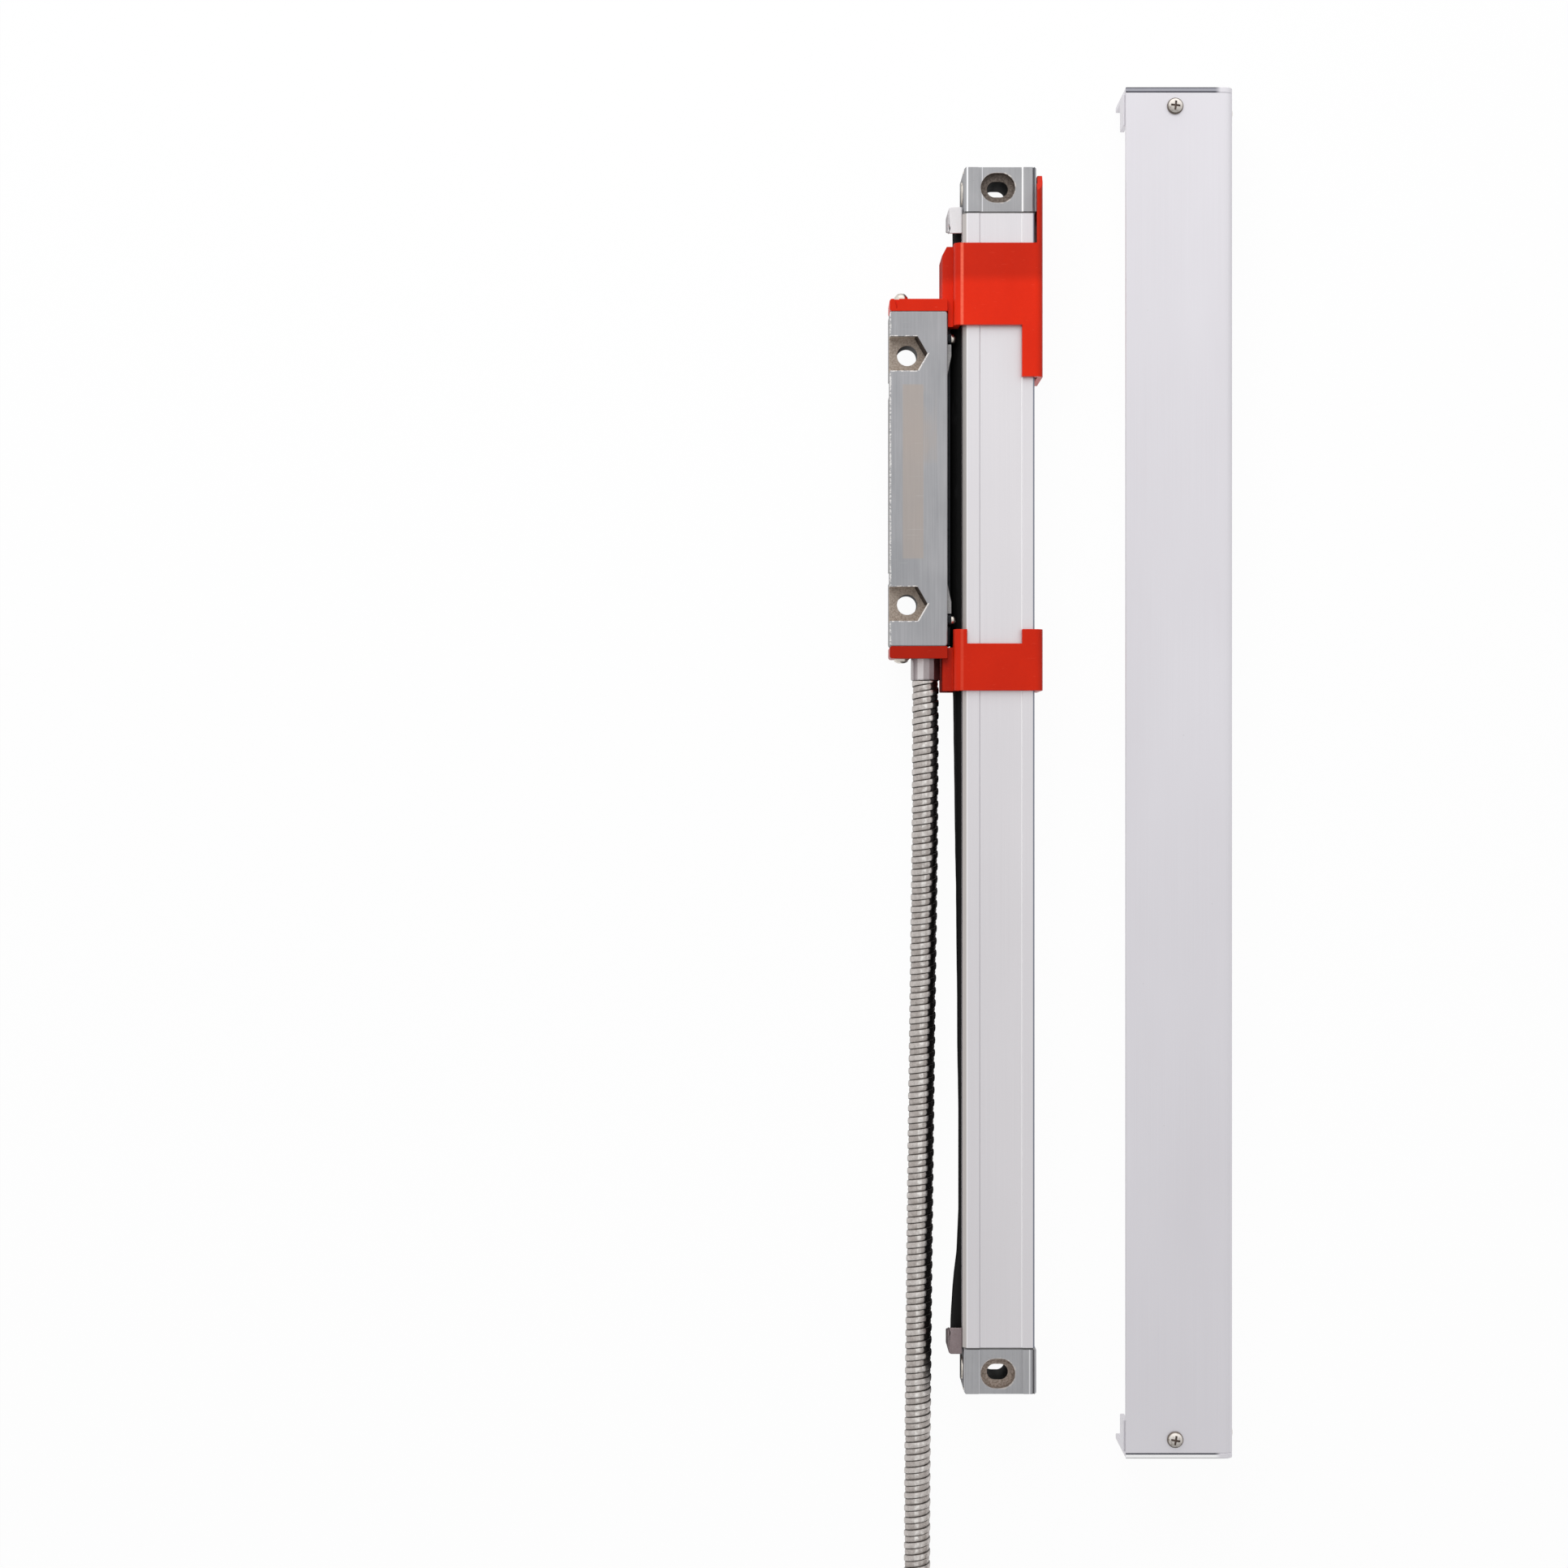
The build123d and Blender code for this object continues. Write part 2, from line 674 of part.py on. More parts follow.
def face_bearing(x, side):
    y = head_centre_y + side * bearing_spread
    half = bearing_width / 2
    ring = rod_x(x - half, x + half, y, face_bearing_z, face_bearing_radius)
    ring = chamfer(ring.edges(), 0.2)
    return ring - rod_x(x - half - 1, x + half + 1, y, face_bearing_z, bearing_pin_radius + pin_gap)


def edge_bearing(side):
    y = head_centre_y + side * bearing_spread
    half = bearing_width / 2
    ring = rod_z(edge_bearing_z - half, edge_bearing_z + half, edge_bearing_x, y, edge_bearing_radius)
    ring = chamfer(ring.edges(), 0.2)
    bore_radius = bearing_pin_radius + pin_gap
    return ring - rod_z(edge_bearing_z - half - 1, edge_bearing_z + half + 1, edge_bearing_x, y, bore_radius)


def bearing_pins():
    pins = []
    for x, side in face_bearing_places:
        x0 = bearing_cheeks(x)[0][0]
        x1 = bearing_cheeks(x)[1][1]
        pins.append(rod_x(x0, x1, head_centre_y + side * bearing_spread, face_bearing_z, bearing_pin_radius))
    for side in (1, -1):
        y = head_centre_y + side * bearing_spread
        pins.append(rod_z(edge_bearing_z - 2.4, edge_bearing_z + 2.4, edge_bearing_x, y, bearing_pin_radius))
    return pins


def led_board():
    """The lamp board under the glass, with its collimating lenses."""
    low = carriage_floor + carriage_plate
    board = box(web_right, plate_right, head_centre_y - 14, head_centre_y + 14, low, low + 1.0)
    lens_x = (web_right + plate_right) / 2
    for y in (head_centre_y - 6, head_centre_y + 6):
        lens = rod_z(low + 1.0, low + 3.2, lens_x, y, 1.6)
        board += chamfer(lens.edges().group_by(Axis.Z)[-1], 0.6)
    return board


def sensor_board():
    high = carriage_ceiling - carriage_plate
    board = box(web_right, plate_right, head_centre_y - 16, head_centre_y + 16, high - 0.6, high)
    sensor_x = (web_right + plate_right) / 2
    low = high - 0.9
    return board + box(sensor_x - 3, sensor_x + 3, head_centre_y - 8, head_centre_y + 8, low, high - 0.6)


def index_grating():
    """The small glass with the index lines, close over the scale."""
    high = carriage_ceiling - carriage_plate - 0.9
    middle = (web_right + plate_right) / 2
    low = glass_back_z + running_gap
    return box(middle - 3.4, middle + 3.4, head_centre_y - 8, head_centre_y + 8, low, high)


def preload_spring():
    """The bowed leaf that presses the carriage against the glass."""
    y0 = head_centre_y - 12
    y1 = head_centre_y + 12
    bow = ThreePointArc((web_left, y0), (web_left - 1.0, head_centre_y), (web_left, y1))
    back = ThreePointArc((web_left, y1 - 1.2), (web_left - 0.75, head_centre_y), (web_left, y0 + 1.2))
    ends = [Line((web_left, y1), (web_left, y1 - 1.2)), Line((web_left, y0 + 1.2), (web_left, y0))]
    return upright(make_face([bow, ends[0], back, ends[1]]), lip_line_z + 1.2, lip_line_z + 3.4)


def clip_section():
    """A bracket's section: over the front, down the right side, and round the lips on the left."""
    plate = outline(
        (bracket_left, bulge_high - bracket_wall), (bracket_left, bracket_front),
        (bracket_right, bracket_front), (bracket_right, bulge_low),
        (bracket_right_inner, bulge_low), (bracket_right_inner, bracket_inner_z),
        (bracket_left_inner, bracket_inner_z), (bracket_left_inner, bulge_high - bracket_wall),
    )
    front_corners = plate.vertices().group_by(Axis.Y)[-1]
    plate = fillet(front_corners.group_by(Axis.X)[0], 2.2)
    plate = fillet(plate.vertices().group_by(Axis.Y)[-1].group_by(Axis.X)[-1], 2.4)
    bulge = outline(
        (bulge_outer, bulge_low), (bulge_outer, bulge_high), (bracket_left_inner, bulge_high),
        (bracket_left_inner, bulge_high - bracket_wall), (bulge_inner, bulge_high - bracket_wall),
        (bulge_inner, bulge_low + bracket_wall), (left - running_gap, bulge_low + bracket_wall),
        (left - running_gap, bulge_low),
    )
    bulge = fillet(bulge.vertices().group_by(Axis.X)[0], 1.0)
    bead_low = clip_groove_z + running_gap
    bead_high = clip_groove_z + clip_groove_height - running_gap
    beads = outline(
        (left - running_gap - 0.5, bead_low), (left + clip_groove_depth - running_gap, bead_low),
        (left + clip_groove_depth - running_gap, bead_high), (left - running_gap - 0.5, bead_high),
    )
    beads += outline(
        (right - clip_groove_depth + running_gap, bead_low), (bracket_right_inner + 0.5, bead_low),
        (bracket_right_inner + 0.5, bead_high), (right - clip_groove_depth + running_gap, bead_high),
    )
    return plate, bulge, beads


def front_only(x0, x1, y0, y1):
    """The room in front of the body where an ear or a leg of a bracket's plate lies."""
    return box(x0, x1, y0, y1, bracket_inner_z - 1, bracket_front + 1)


def bracket_arm(y0, y1):
    """The arm to the head's end, cut square in section and rounded at its free end."""
    plate = box(head_left, bulge_outer + 1.5, y0, y1, head_front - bracket_arm_depth, head_front)
    return fillet(plate.edges().filter_by(Axis.Z).group_by(Axis.X)[0], 0.8)


def bracket_top():
    plate, bulge, beads = clip_section()
    plate_low = head_top - 4.4
    plate_high = plate_low + top_plate_length
    tongue_low = top_leg_y
    clip = across(plate, tongue_low, tongue_top_y)
    middle = bracket_right - bracket_leg_width
    cut_right = bracket_right_inner - 0.2
    clip -= box(bulge_outer - 1, cut_right, plate_high, tongue_top_y + 1, -1, bracket_front + 1)
    clip -= box(bulge_outer - 1, middle, tongue_low - 1, plate_low, -1, bracket_front + 1)
    slope = outline(
        (tongue_top_y - 5, bracket_front), (tongue_top_y, bracket_front - 4),
        (tongue_top_y + 1, bracket_front + 1),
    )
    clip -= sideways(slope, bracket_right_inner - 1, bracket_right + 1)
    tip = outline(
        (bracket_right_inner - 1, tongue_top_y - 1.6), (bracket_right_inner - 1, tongue_top_y + 1),
        (bracket_right_inner + 1, tongue_top_y + 1),
    )
    clip -= upright(tip, -1, bracket_front + 1)
    bulge_start = head_top + 0.3
    wall = across(bulge, bulge_start, plate_high - 0.4)
    corner = outline(
        (bulge_outer - 1, plate_high - 3.4), (bulge_outer - 1, plate_high + 1),
        (bulge_outer + 1.8, plate_high + 1), (bulge_outer + 1.4, plate_high - 0.4),
        (bulge_outer, plate_high - 3.0),
    )
    wall -= upright(corner, -1, bracket_front + 1)
    wall += box(
        head_right + 0.2, bracket_left_inner - 0.1, plate_low, bulge_start + 0.5, lip_high - 0.6, bulge_high
    )
    bead = across(beads, bulge_start + 2, plate_high - 2)
    arm = bracket_arm(head_top, head_top + bracket_arm_thickness)
    bracket = clip + wall + bead + arm
    notch_x = bracket_screw_x - 1.5
    notch_top = head_top + bracket_arm_thickness
    bracket -= upright(
        outline((notch_x - 1.0, notch_top + 1), (notch_x, head_top + 0.6), (notch_x + 1.0, notch_top + 1)),
        head_front - 1.4, head_front + 1,
    )
    bracket -= rod_y(head_top - 1, notch_top + 1, bracket_screw_x, bracket_screw_z, 1.5)
    return bracket


def bracket_bottom():
    plate, bulge, beads = clip_section()
    plate_high = head_bottom + 0.7
    plate_low = plate_high - bottom_plate_length
    ear_top = plate_high + bottom_ear_height
    clip = across(plate, plate_low, ear_top)
    clip -= front_only(left + 1.2, bracket_right - bracket_leg_width, plate_high, ear_top + 1)
    clip -= box(bulge_outer - 1, bracket_left_inner, plate_high, ear_top + 1, -1, bulge_high)
    bulge_top = head_bottom - 0.3
    wall = across(bulge, plate_low, bulge_top)
    bead = across(beads, plate_low + 2, bulge_top - 2)
    arm = bracket_arm(head_bottom - bracket_arm_thickness, head_bottom)
    way_round = gland_radius + 0.4
    arm -= box(
        cable_x - way_round, cable_x + way_round, head_bottom - 10, head_bottom + 1,
        head_back - 2, gland_z + way_round,
    )
    arm -= rod_y(head_bottom - 10, head_bottom + 1, bracket_screw_x, bracket_screw_z, 1.5)
    return clip + wall + bead + arm


def bracket_screw(side):
    screw = pan_screw(2.1, 1.6, 1.25, 9.0)
    y = head_top + bracket_arm_thickness if side > 0 else head_bottom - bracket_arm_thickness
    return Pos(bracket_screw_x, y, bracket_screw_z) * Rot(-90 * side, 0, 0) * screw


def cable_gland():
    """The faceted ferrule that crimps the armour, with a spigot in the head."""
    ferrule_section = Pos(cable_x, gland_z) * RegularPolygon(gland_radius, 8, rotation=12)
    ferrule = across(ferrule_section, gland_end_y, head_bottom)
    ferrule = chamfer(ferrule.edges().group_by(Axis.Y)[0], 0.3)
    spigot_end = head_bottom + gland_spigot_length - 0.2
    return ferrule + rod_y(head_bottom, spigot_end, cable_x, gland_z, gland_spigot_radius)


def corner_radii(points):
    """As large a radius at each corner as its two runs allow: 0.45 of the shorter over tan(half the turn)."""
    radii = []
    for before, corner, after in zip(points, points[1:], points[2:]):
        run_in = Vector(*corner) - Vector(*before)
        run_out = Vector(*after) - Vector(*corner)
        half_turn = math.radians(run_in.get_angle(run_out)) / 2
        radii.append(0.45 * min(run_in.length, run_out.length) / math.tan(half_turn))
    return radii


def cable_tube(points):
    radii = corner_radii(points)
    path = FilletPolyline(*points, radius=radii)
    start = Plane(origin=path @ 0, z_dir=path % 0)
    tube = sweep(start * RegularPolygon(cable_radius, 16), path=path)
    print("cable run of", round(path.length), "mm with radii", [round(radius) for radius in radii])
    return tube, path.length


def cable_coil():
    """The outer shape of the wound cable."""
    middle = (coil_inner_radius + coil_outer_radius) / 2
    section = Rectangle(coil_outer_radius - coil_inner_radius, coil_height)
    section = chamfer(section.vertices(), 0.6 * cable_radius)
    plane = Plane(origin=(0, 0, coil_height / 2), x_dir=(1, 0, 0), z_dir=(0, -1, 0))
    ring = revolve(plane * (Pos(middle, 0) * section), Axis.Z)
    return Pos(coil_centre_x, coil_centre_y, 0) * ring


def coil_tie():
    """A hook-and-loop strap round the coil."""
    strap = 1.0
    inner = Rectangle(coil_outer_radius - coil_inner_radius + 0.1, coil_height + 0.1)
    inner = chamfer(inner.vertices(), 0.6 * cable_radius)
    outer = Rectangle(coil_outer_radius - coil_inner_radius + 2 * strap, coil_height + 2 * strap)
    outer = chamfer(outer.vertices(), 0.6 * cable_radius + 0.6 * strap)
    band = extrude(Plane.XZ * (outer - inner), 6.0, both=True)
    band = Pos(coil_mid_radius, 0, coil_height / 2) * band
    band -= Pos(coil_mid_radius, 0, -strap) * Box(80, 40, 2 * strap)
    return Pos(coil_centre_x, coil_centre_y, 0) * Rot(0, 0, 40) * band


def turned(shape):
    """The plug is drawn pointing to the right; here it is turned to point along the scale."""
    return Pos(plug_x, plug_y, 0) * Rot(0, 0, 90) * Pos(-plug_x, -plug_y, 0) * shape


def plug_boot():
    """The strain relief that holds the armour in the hood."""
    sleeve = rod_x(plug_x, hood_start, plug_y, plug_z, plug_boot_radius)
    return chamfer(sleeve.edges().group_by(Axis.X)[0], 0.6)


def plug_hood():
    """The plug's shell: a narrow body with wide shoulders for the thumbscrews."""
    body = Pos(hood_start + (hood_length - 1) / 2, plug_y) * Rectangle(hood_length - 1, hood_width)
    shoulder_middle = hood_end - hood_shoulder_length / 2
    shoulder = Pos(shoulder_middle, plug_y) * Rectangle(hood_shoulder_length, hood_shoulder_width)
    hood = upright(body + shoulder, 0, hood_thickness)
    hood = fillet(hood.edges().filter_by(Axis.Z), 1.2)
    hood = chamfer(hood.edges().group_by(Axis.Z)[-1], 0.8)
    for side in (1, -1):
        y = plug_y + side * thumbscrew_pitch / 2
        hood -= rod_x(shoulder_start - 1, hood_end + 1, y, plug_z, 1.5)
    return hood


def plug_shell():
    """The D-shaped metal shell and its flange."""
    flange = box(hood_end, hood_end + 0.8, plug_y - 15.2, plug_y + 15.2, plug_z - 6.2, plug_z + 6.2)
    flange = fillet(flange.edges().filter_by(Axis.X), 1.5)
    for side in (1, -1):
        flange -= rod_x(hood_end - 1, hood_end + 2, plug_y + side * thumbscrew_pitch / 2, plug_z, 1.5)
    half = plug_shell_height / 2
    wide = plug_shell_width / 2
    shell = outline((-wide, half), (-wide + 1.2, -half), (wide - 1.2, -half), (wide, half))
    shell = fillet(shell.vertices(), 1.6)
    rim = shell - offset(shell, -0.4)
    return flange + sideways(rim, hood_end, hood_end + plug_shell_length, plug_y, plug_z)


def plug_insert():
    """The insulator with nine contacts in two rows."""
    half = plug_shell_height / 2 - 0.5
    wide = plug_shell_width / 2 - 0.5
    block = outline((-wide, half), (-wide + 1.1, -half), (wide - 1.1, -half), (wide, half))
    block = fillet(block.vertices(), 1.2)
    insert = sideways(block, hood_end + 0.8, hood_end + 2.2, plug_y, plug_z)
    for row, count in ((1, 5), (-1, 4)):
        for index in range(count):
            y = plug_y + (index - (count - 1) / 2) * 2.75
            pin = Pos(y, plug_z + row * 1.4) * RegularPolygon(0.5, 8)
            insert += sideways(pin, hood_end + 2.2, hood_end + plug_shell_length - 0.4)
    return insert


def plug_thumbscrew(side):
    y = plug_y + side * thumbscrew_pitch / 2
    knob = rod_x(shoulder_start - 9.5, shoulder_start - 0.5, y, plug_z, 2.0)
    knob += rod_x(shoulder_start - 9.5, shoulder_start - 4.5, y, plug_z, 2.1)
    return knob + rod_x(shoulder_start - 1, hood_end + 5.0, y, plug_z, 1.43)


def cover_extrusion():
    """The cover's L section: a flat front plate and one rounded side wall."""
    section = outline(
        (cover_left, cover_inner_top), (cover_left, cover_height),
        (cover_right, cover_height), (cover_right, 0),
        (cover_right - cover_wall, 0), (cover_right - cover_wall, cover_inner_top),
    )
    outer = section.vertices().group_by(Axis.Y)[-1].group_by(Axis.X)[-1]
    section = fillet(outer, cover_corner_radius)
    inner_corner = section.vertices().sort_by_distance((cover_right - cover_wall, cover_inner_top))[0]
    section = fillet(inner_corner, cover_corner_radius - cover_wall)
    cover = across(section, cover_bottom, cover_top)
    for side in (1, -1):
        x, y = cover_front_screw(side)
        cover -= rod_z(cover_inner_top - 1, cover_height + 1, x, y, 1.6)
        y, z = cover_side_screw(side)
        cover -= rod_x(cover_right - cover_wall - 1, cover_right + 1, y, z, 1.6)
    return cover


def cover_screw_y(side):
    return cover_centre_y + side * (cover_length / 2 + cover_cap_thickness - cover_screw_from_end)


def cover_front_screw(side):
    return cover_left + cover_screw_from_left, cover_screw_y(side)


def cover_side_screw(side):
    return cover_screw_y(side), cover_height * 0.6


def cover_cap(side):
    """The folded end plate: a flange under the front plate, one in the side wall and a tab on the left."""
    face = cover_top if side > 0 else cover_bottom
    y0, y1 = sorted((face, face + side * cover_cap_thickness))
    plate = Pos((cover_left + cover_right) / 2, cover_height / 2) * Rectangle(cover_width, cover_height)
    corner = plate.vertices().group_by(Axis.Y)[-1].group_by(Axis.X)[-1]
    cap = across(fillet(corner, cover_corner_radius), y0, y1)
    inner = cover_right - cover_wall
    f0, f1 = sorted((face, face - side * cap_flange))
    cap += box(cover_left + 1.5, inner - 1.6, f0, f1, cover_inner_top - cap_flange_thickness, cover_inner_top)
    cap += box(inner - cap_flange_thickness, inner, f0, f1, 2.0, cover_inner_top - 1.6)
    cap += box(cover_left - 0.5, cover_left + 0.8, f0, f1, cover_inner_top - 9.0, cover_inner_top - 0.4)
    x, y = cover_front_screw(side)
    cap -= rod_z(cover_inner_top - 3, cover_height + 1, x, y, 1.25)
    y, z = cover_side_screw(side)
    cap -= rod_x(inner - 3, cover_right + 1, y, z, 1.25)
    return cap


def cover_front_screws():
    screw = pan_screw(2.4, 1.6, 1.2, 5.0)
    return [Pos(*cover_front_screw(side), cover_height) * screw for side in (1, -1)]


def cover_side_screws():
    screw = pan_screw(2.2, 1.3, 1.2, 4.5)
    places = [cover_side_screw(side) for side in (1, -1)]
    return [Pos(cover_right, y, z) * Rot(0, 90, 0) * screw for y, z in places]


save("housing_extrusion", housing_extrusion())
save("glass_scale", glass_scale())
save("glass_seat_cord", glass_seat_cord())
save("front_sealing_lip", sealing_lip(1))
save("rear_sealing_lip", sealing_lip(-1))
for end, side in (("top", 1), ("bottom", -1)):
    save(f"end_block_{end}", mirrored(end_block(), side))
    save(f"end_gasket_{end}", mirrored(end_gasket(), side))
    save(f"end_screws_{end}", *[mirrored(screw, side) for screw in end_screws()])
    save(f"seal_clamp_{end}", mirrored(seal_clamp(), side))
    save(f"seal_clamp_screw_{end}", mirrored(seal_clamp_screw(), side))
    save(f"air_plug_{end}", mirrored(air_plug(), side))
save("head_block", head_block())
save("head_cover", head_cover())
save("head_cover_screws", *head_cover_screws())
save("head_board", head_board())
save("carriage_arm", carriage_arm())
save("arm_screws", *arm_screws())
save("carriage_frame", carriage_frame())
for number, (x, side) in enumerate(face_bearing_places, 1):
    save(f"face_bearing_{number}", face_bearing(x, side))
save("edge_bearing_1", edge_bearing(1))
save("edge_bearing_2", edge_bearing(-1))
save("bearing_pins", *bearing_pins())
save("led_board", led_board())
save("sensor_board", sensor_board())
save("index_grating", index_grating())
save("preload_spring", preload_spring())
save("bracket_top", bracket_top())
save("bracket_bottom", bracket_bottom())
save("bracket_screw_top", bracket_screw(1))
save("bracket_screw_bottom", bracket_screw(-1))
save("cable_gland", cable_gland())
run, run_length = cable_tube(cable_points)
tail, tail_length = cable_tube(tail_points)
save("cable_run", run)
save("cable_tail", tail)
coil_turns = (cable_length - run_length - tail_length) / (2 * math.pi * coil_mid_radius)
print("turns in the coil", round(coil_turns, 2))
print("tube volume over section times length", run.volume / (math.pi * cable_radius**2 * run_length))
save("cable_coil", cable_coil())
save("coil_tie", coil_tie())
save("plug_boot", turned(plug_boot()))
save("plug_hood", turned(plug_hood()))
save("plug_shell", turned(plug_shell()))
save("plug_insert", turned(plug_insert()))
save("plug_thumbscrew_left", turned(plug_thumbscrew(1)))
save("plug_thumbscrew_right", turned(plug_thumbscrew(-1)))
save("cover_extrusion", cover_extrusion())
save("cover_cap_top", cover_cap(1))
save("cover_cap_bottom", cover_cap(-1))
save("cover_front_screws", *cover_front_screws())
save("cover_side_screws", *cover_side_screws())
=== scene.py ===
"""Looks of a sealed linear glass scale: slim body, reading head, armoured cable, brackets and cover."""

import math

import bmesh
import bpy
import numpy as np
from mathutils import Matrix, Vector, noise


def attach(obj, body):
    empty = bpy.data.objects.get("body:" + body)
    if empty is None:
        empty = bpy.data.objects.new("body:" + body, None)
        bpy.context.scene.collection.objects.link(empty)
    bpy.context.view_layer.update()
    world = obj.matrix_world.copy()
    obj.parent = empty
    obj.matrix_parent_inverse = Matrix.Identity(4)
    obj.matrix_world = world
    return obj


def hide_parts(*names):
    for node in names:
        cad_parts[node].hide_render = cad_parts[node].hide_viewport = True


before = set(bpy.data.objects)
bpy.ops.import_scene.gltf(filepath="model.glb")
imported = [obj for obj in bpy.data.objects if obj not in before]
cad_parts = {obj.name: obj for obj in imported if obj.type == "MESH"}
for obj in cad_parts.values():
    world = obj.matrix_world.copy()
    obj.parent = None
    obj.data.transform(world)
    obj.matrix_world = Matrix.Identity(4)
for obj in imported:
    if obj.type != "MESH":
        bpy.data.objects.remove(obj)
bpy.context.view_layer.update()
MM = 0.001
weld_distance = 2e-6

# Sizes and places of the CAD pieces that the finishes and the new pieces follow, in millimetres
body_front_z = 22.0
body_left_x = -10.4
slot_y = 174.0
counterbore_radius = 4.3
counterbore_half_straight = 0.7
counterbore_floor_z = 19.0
head_y = 88.65
head_front_z = 21.6
head_bolt_x = -26.45
head_bolt_ys = (head_y + 36.75, head_y - 36.75)
pocket_half = 5.0
pocket_floor_z = 16.6
hole_left_x, hole_right_x = -29.8, -23.2
label_left_x, label_right_x = -27.8, -22.0
label_low_y, label_high_y = 65.5, 116.0
bracket_bend_x = -10.7
cover_middle_y = 2.25
cover_half_length = 198.65
cover_front_z = 26.0
cover_right_x = 68.4
cover_screw_x = 51.4
cover_screw_y = 194.65


def tone(*display):
    """A colour given as 8-bit display values, as Blender's linear colour."""
    return tuple(((v / 255 + 0.055) / 1.055) ** 2.4 if v > 10 else v / 255 / 12.92 for v in display)


# Camera: straight above, left of the body, as the photograph was taken
camera_place = (-62.8, -1.0, 872.0)
view_width = 460.0
film_width = 36.0
camera_data = bpy.data.cameras.new("camera")
camera_data.sensor_width = film_width
camera_data.lens = film_width * (camera_place[2] - body_front_z) / view_width
camera_data.clip_start = 0.01
camera = bpy.data.objects.new("camera", camera_data)
camera.location = Vector(camera_place) * MM
bpy.context.scene.collection.objects.link(camera)
bpy.context.scene.camera = camera
bpy.context.scene.view_settings.view_transform = "Standard"


# Shader and geometry trees
class Channel:
    """One socket of a node tree. Arithmetic on it adds Math nodes."""

    def __init__(self, graph, socket):
        self.graph = graph
        self.socket = socket

    def maths(self, operation, *values):
        return self.graph.node("ShaderNodeMath", dict(enumerate(values)), operation=operation)

    def __add__(self, other):
        return self.maths("ADD", self, other)

    def __radd__(self, other):
        return self.maths("ADD", other, self)

    def __sub__(self, other):
        return self.maths("SUBTRACT", self, other)

    def __rsub__(self, other):
        return self.maths("SUBTRACT", other, self)

    def __mul__(self, other):
        return self.maths("MULTIPLY", self, other)

    def __rmul__(self, other):
        return self.maths("MULTIPLY", other, self)

    def __truediv__(self, other):
        return self.maths("DIVIDE", self, other)

    def __rtruediv__(self, other):
        return self.maths("DIVIDE", other, self)

    def __pow__(self, other):
        return self.maths("POWER", self, other)

    def __rpow__(self, other):
        return self.maths("POWER", other, self)

    def __abs__(self):
        return self.maths("ABSOLUTE", self)

    def at_least(self, other):
        return self.maths("MAXIMUM", self, other)

    def at_most(self, other):
        return self.maths("MINIMUM", self, other)

    def fraction(self):
        return self.maths("FRACT", self)

    def over(self, low, high):
        """0 below low and 1 above high, with a smooth step between."""
        inputs = {"Value": self, "From Min": low, "From Max": high}
        return self.graph.node("ShaderNodeMapRange", inputs, interpolation_type="SMOOTHSTEP")

    def within(self, low, high, soft):
        """1 between low and high, fading over soft on each side."""
        return self.over(low - soft, low) * (1 - self.over(high, high + soft))

    def parts(self):
        """The x, y and z of a vector."""
        split = self.graph.node("ShaderNodeSeparateXYZ", {0: self}).socket.node
        return [Channel(self.graph, split.outputs[i]) for i in range(3)]


class Graph:
    """A node tree being written."""

    def __init__(self, tree):
        self.tree = tree

    def node(self, kind, inputs=None, output=0, **settings):
        """A new node with its settings, then its sockets' values or links. The wanted output comes back."""
        made = self.tree.nodes.new(kind)
        for name, value in settings.items():
            setattr(made, name, value)
        for name, value in (inputs or {}).items():
            socket = made.inputs[name]
            if isinstance(value, Channel):
                self.tree.links.new(value.socket, socket)
            elif isinstance(value, list):
                for channel in value:
                    self.tree.links.new(channel.socket, socket)
            elif isinstance(value, tuple) and len(value) == 3 and socket.type == "RGBA":
                socket.default_value = (*value, 1)
            else:
                socket.default_value = value
        return None if output is None else Channel(self, made.outputs[output])

    def vector(self, operation, *values, **named):
        return self.node("ShaderNodeVectorMath", {**dict(enumerate(values)), **named}, operation=operation)

    def scaled(self, colour, share):
        """The colour, or any vector, times the share."""
        return self.vector("SCALE", colour, Scale=share)

    def mix(self, first, second, factor):
        """The first colour where factor is 0, the second where it is 1."""
        return self.node("ShaderNodeMix", {0: factor, 6: first, 7: second}, output=2, data_type="RGBA")

    def ray(self, kind):
        return self.node("ShaderNodeLightPath", output=f"Is {kind} Ray")


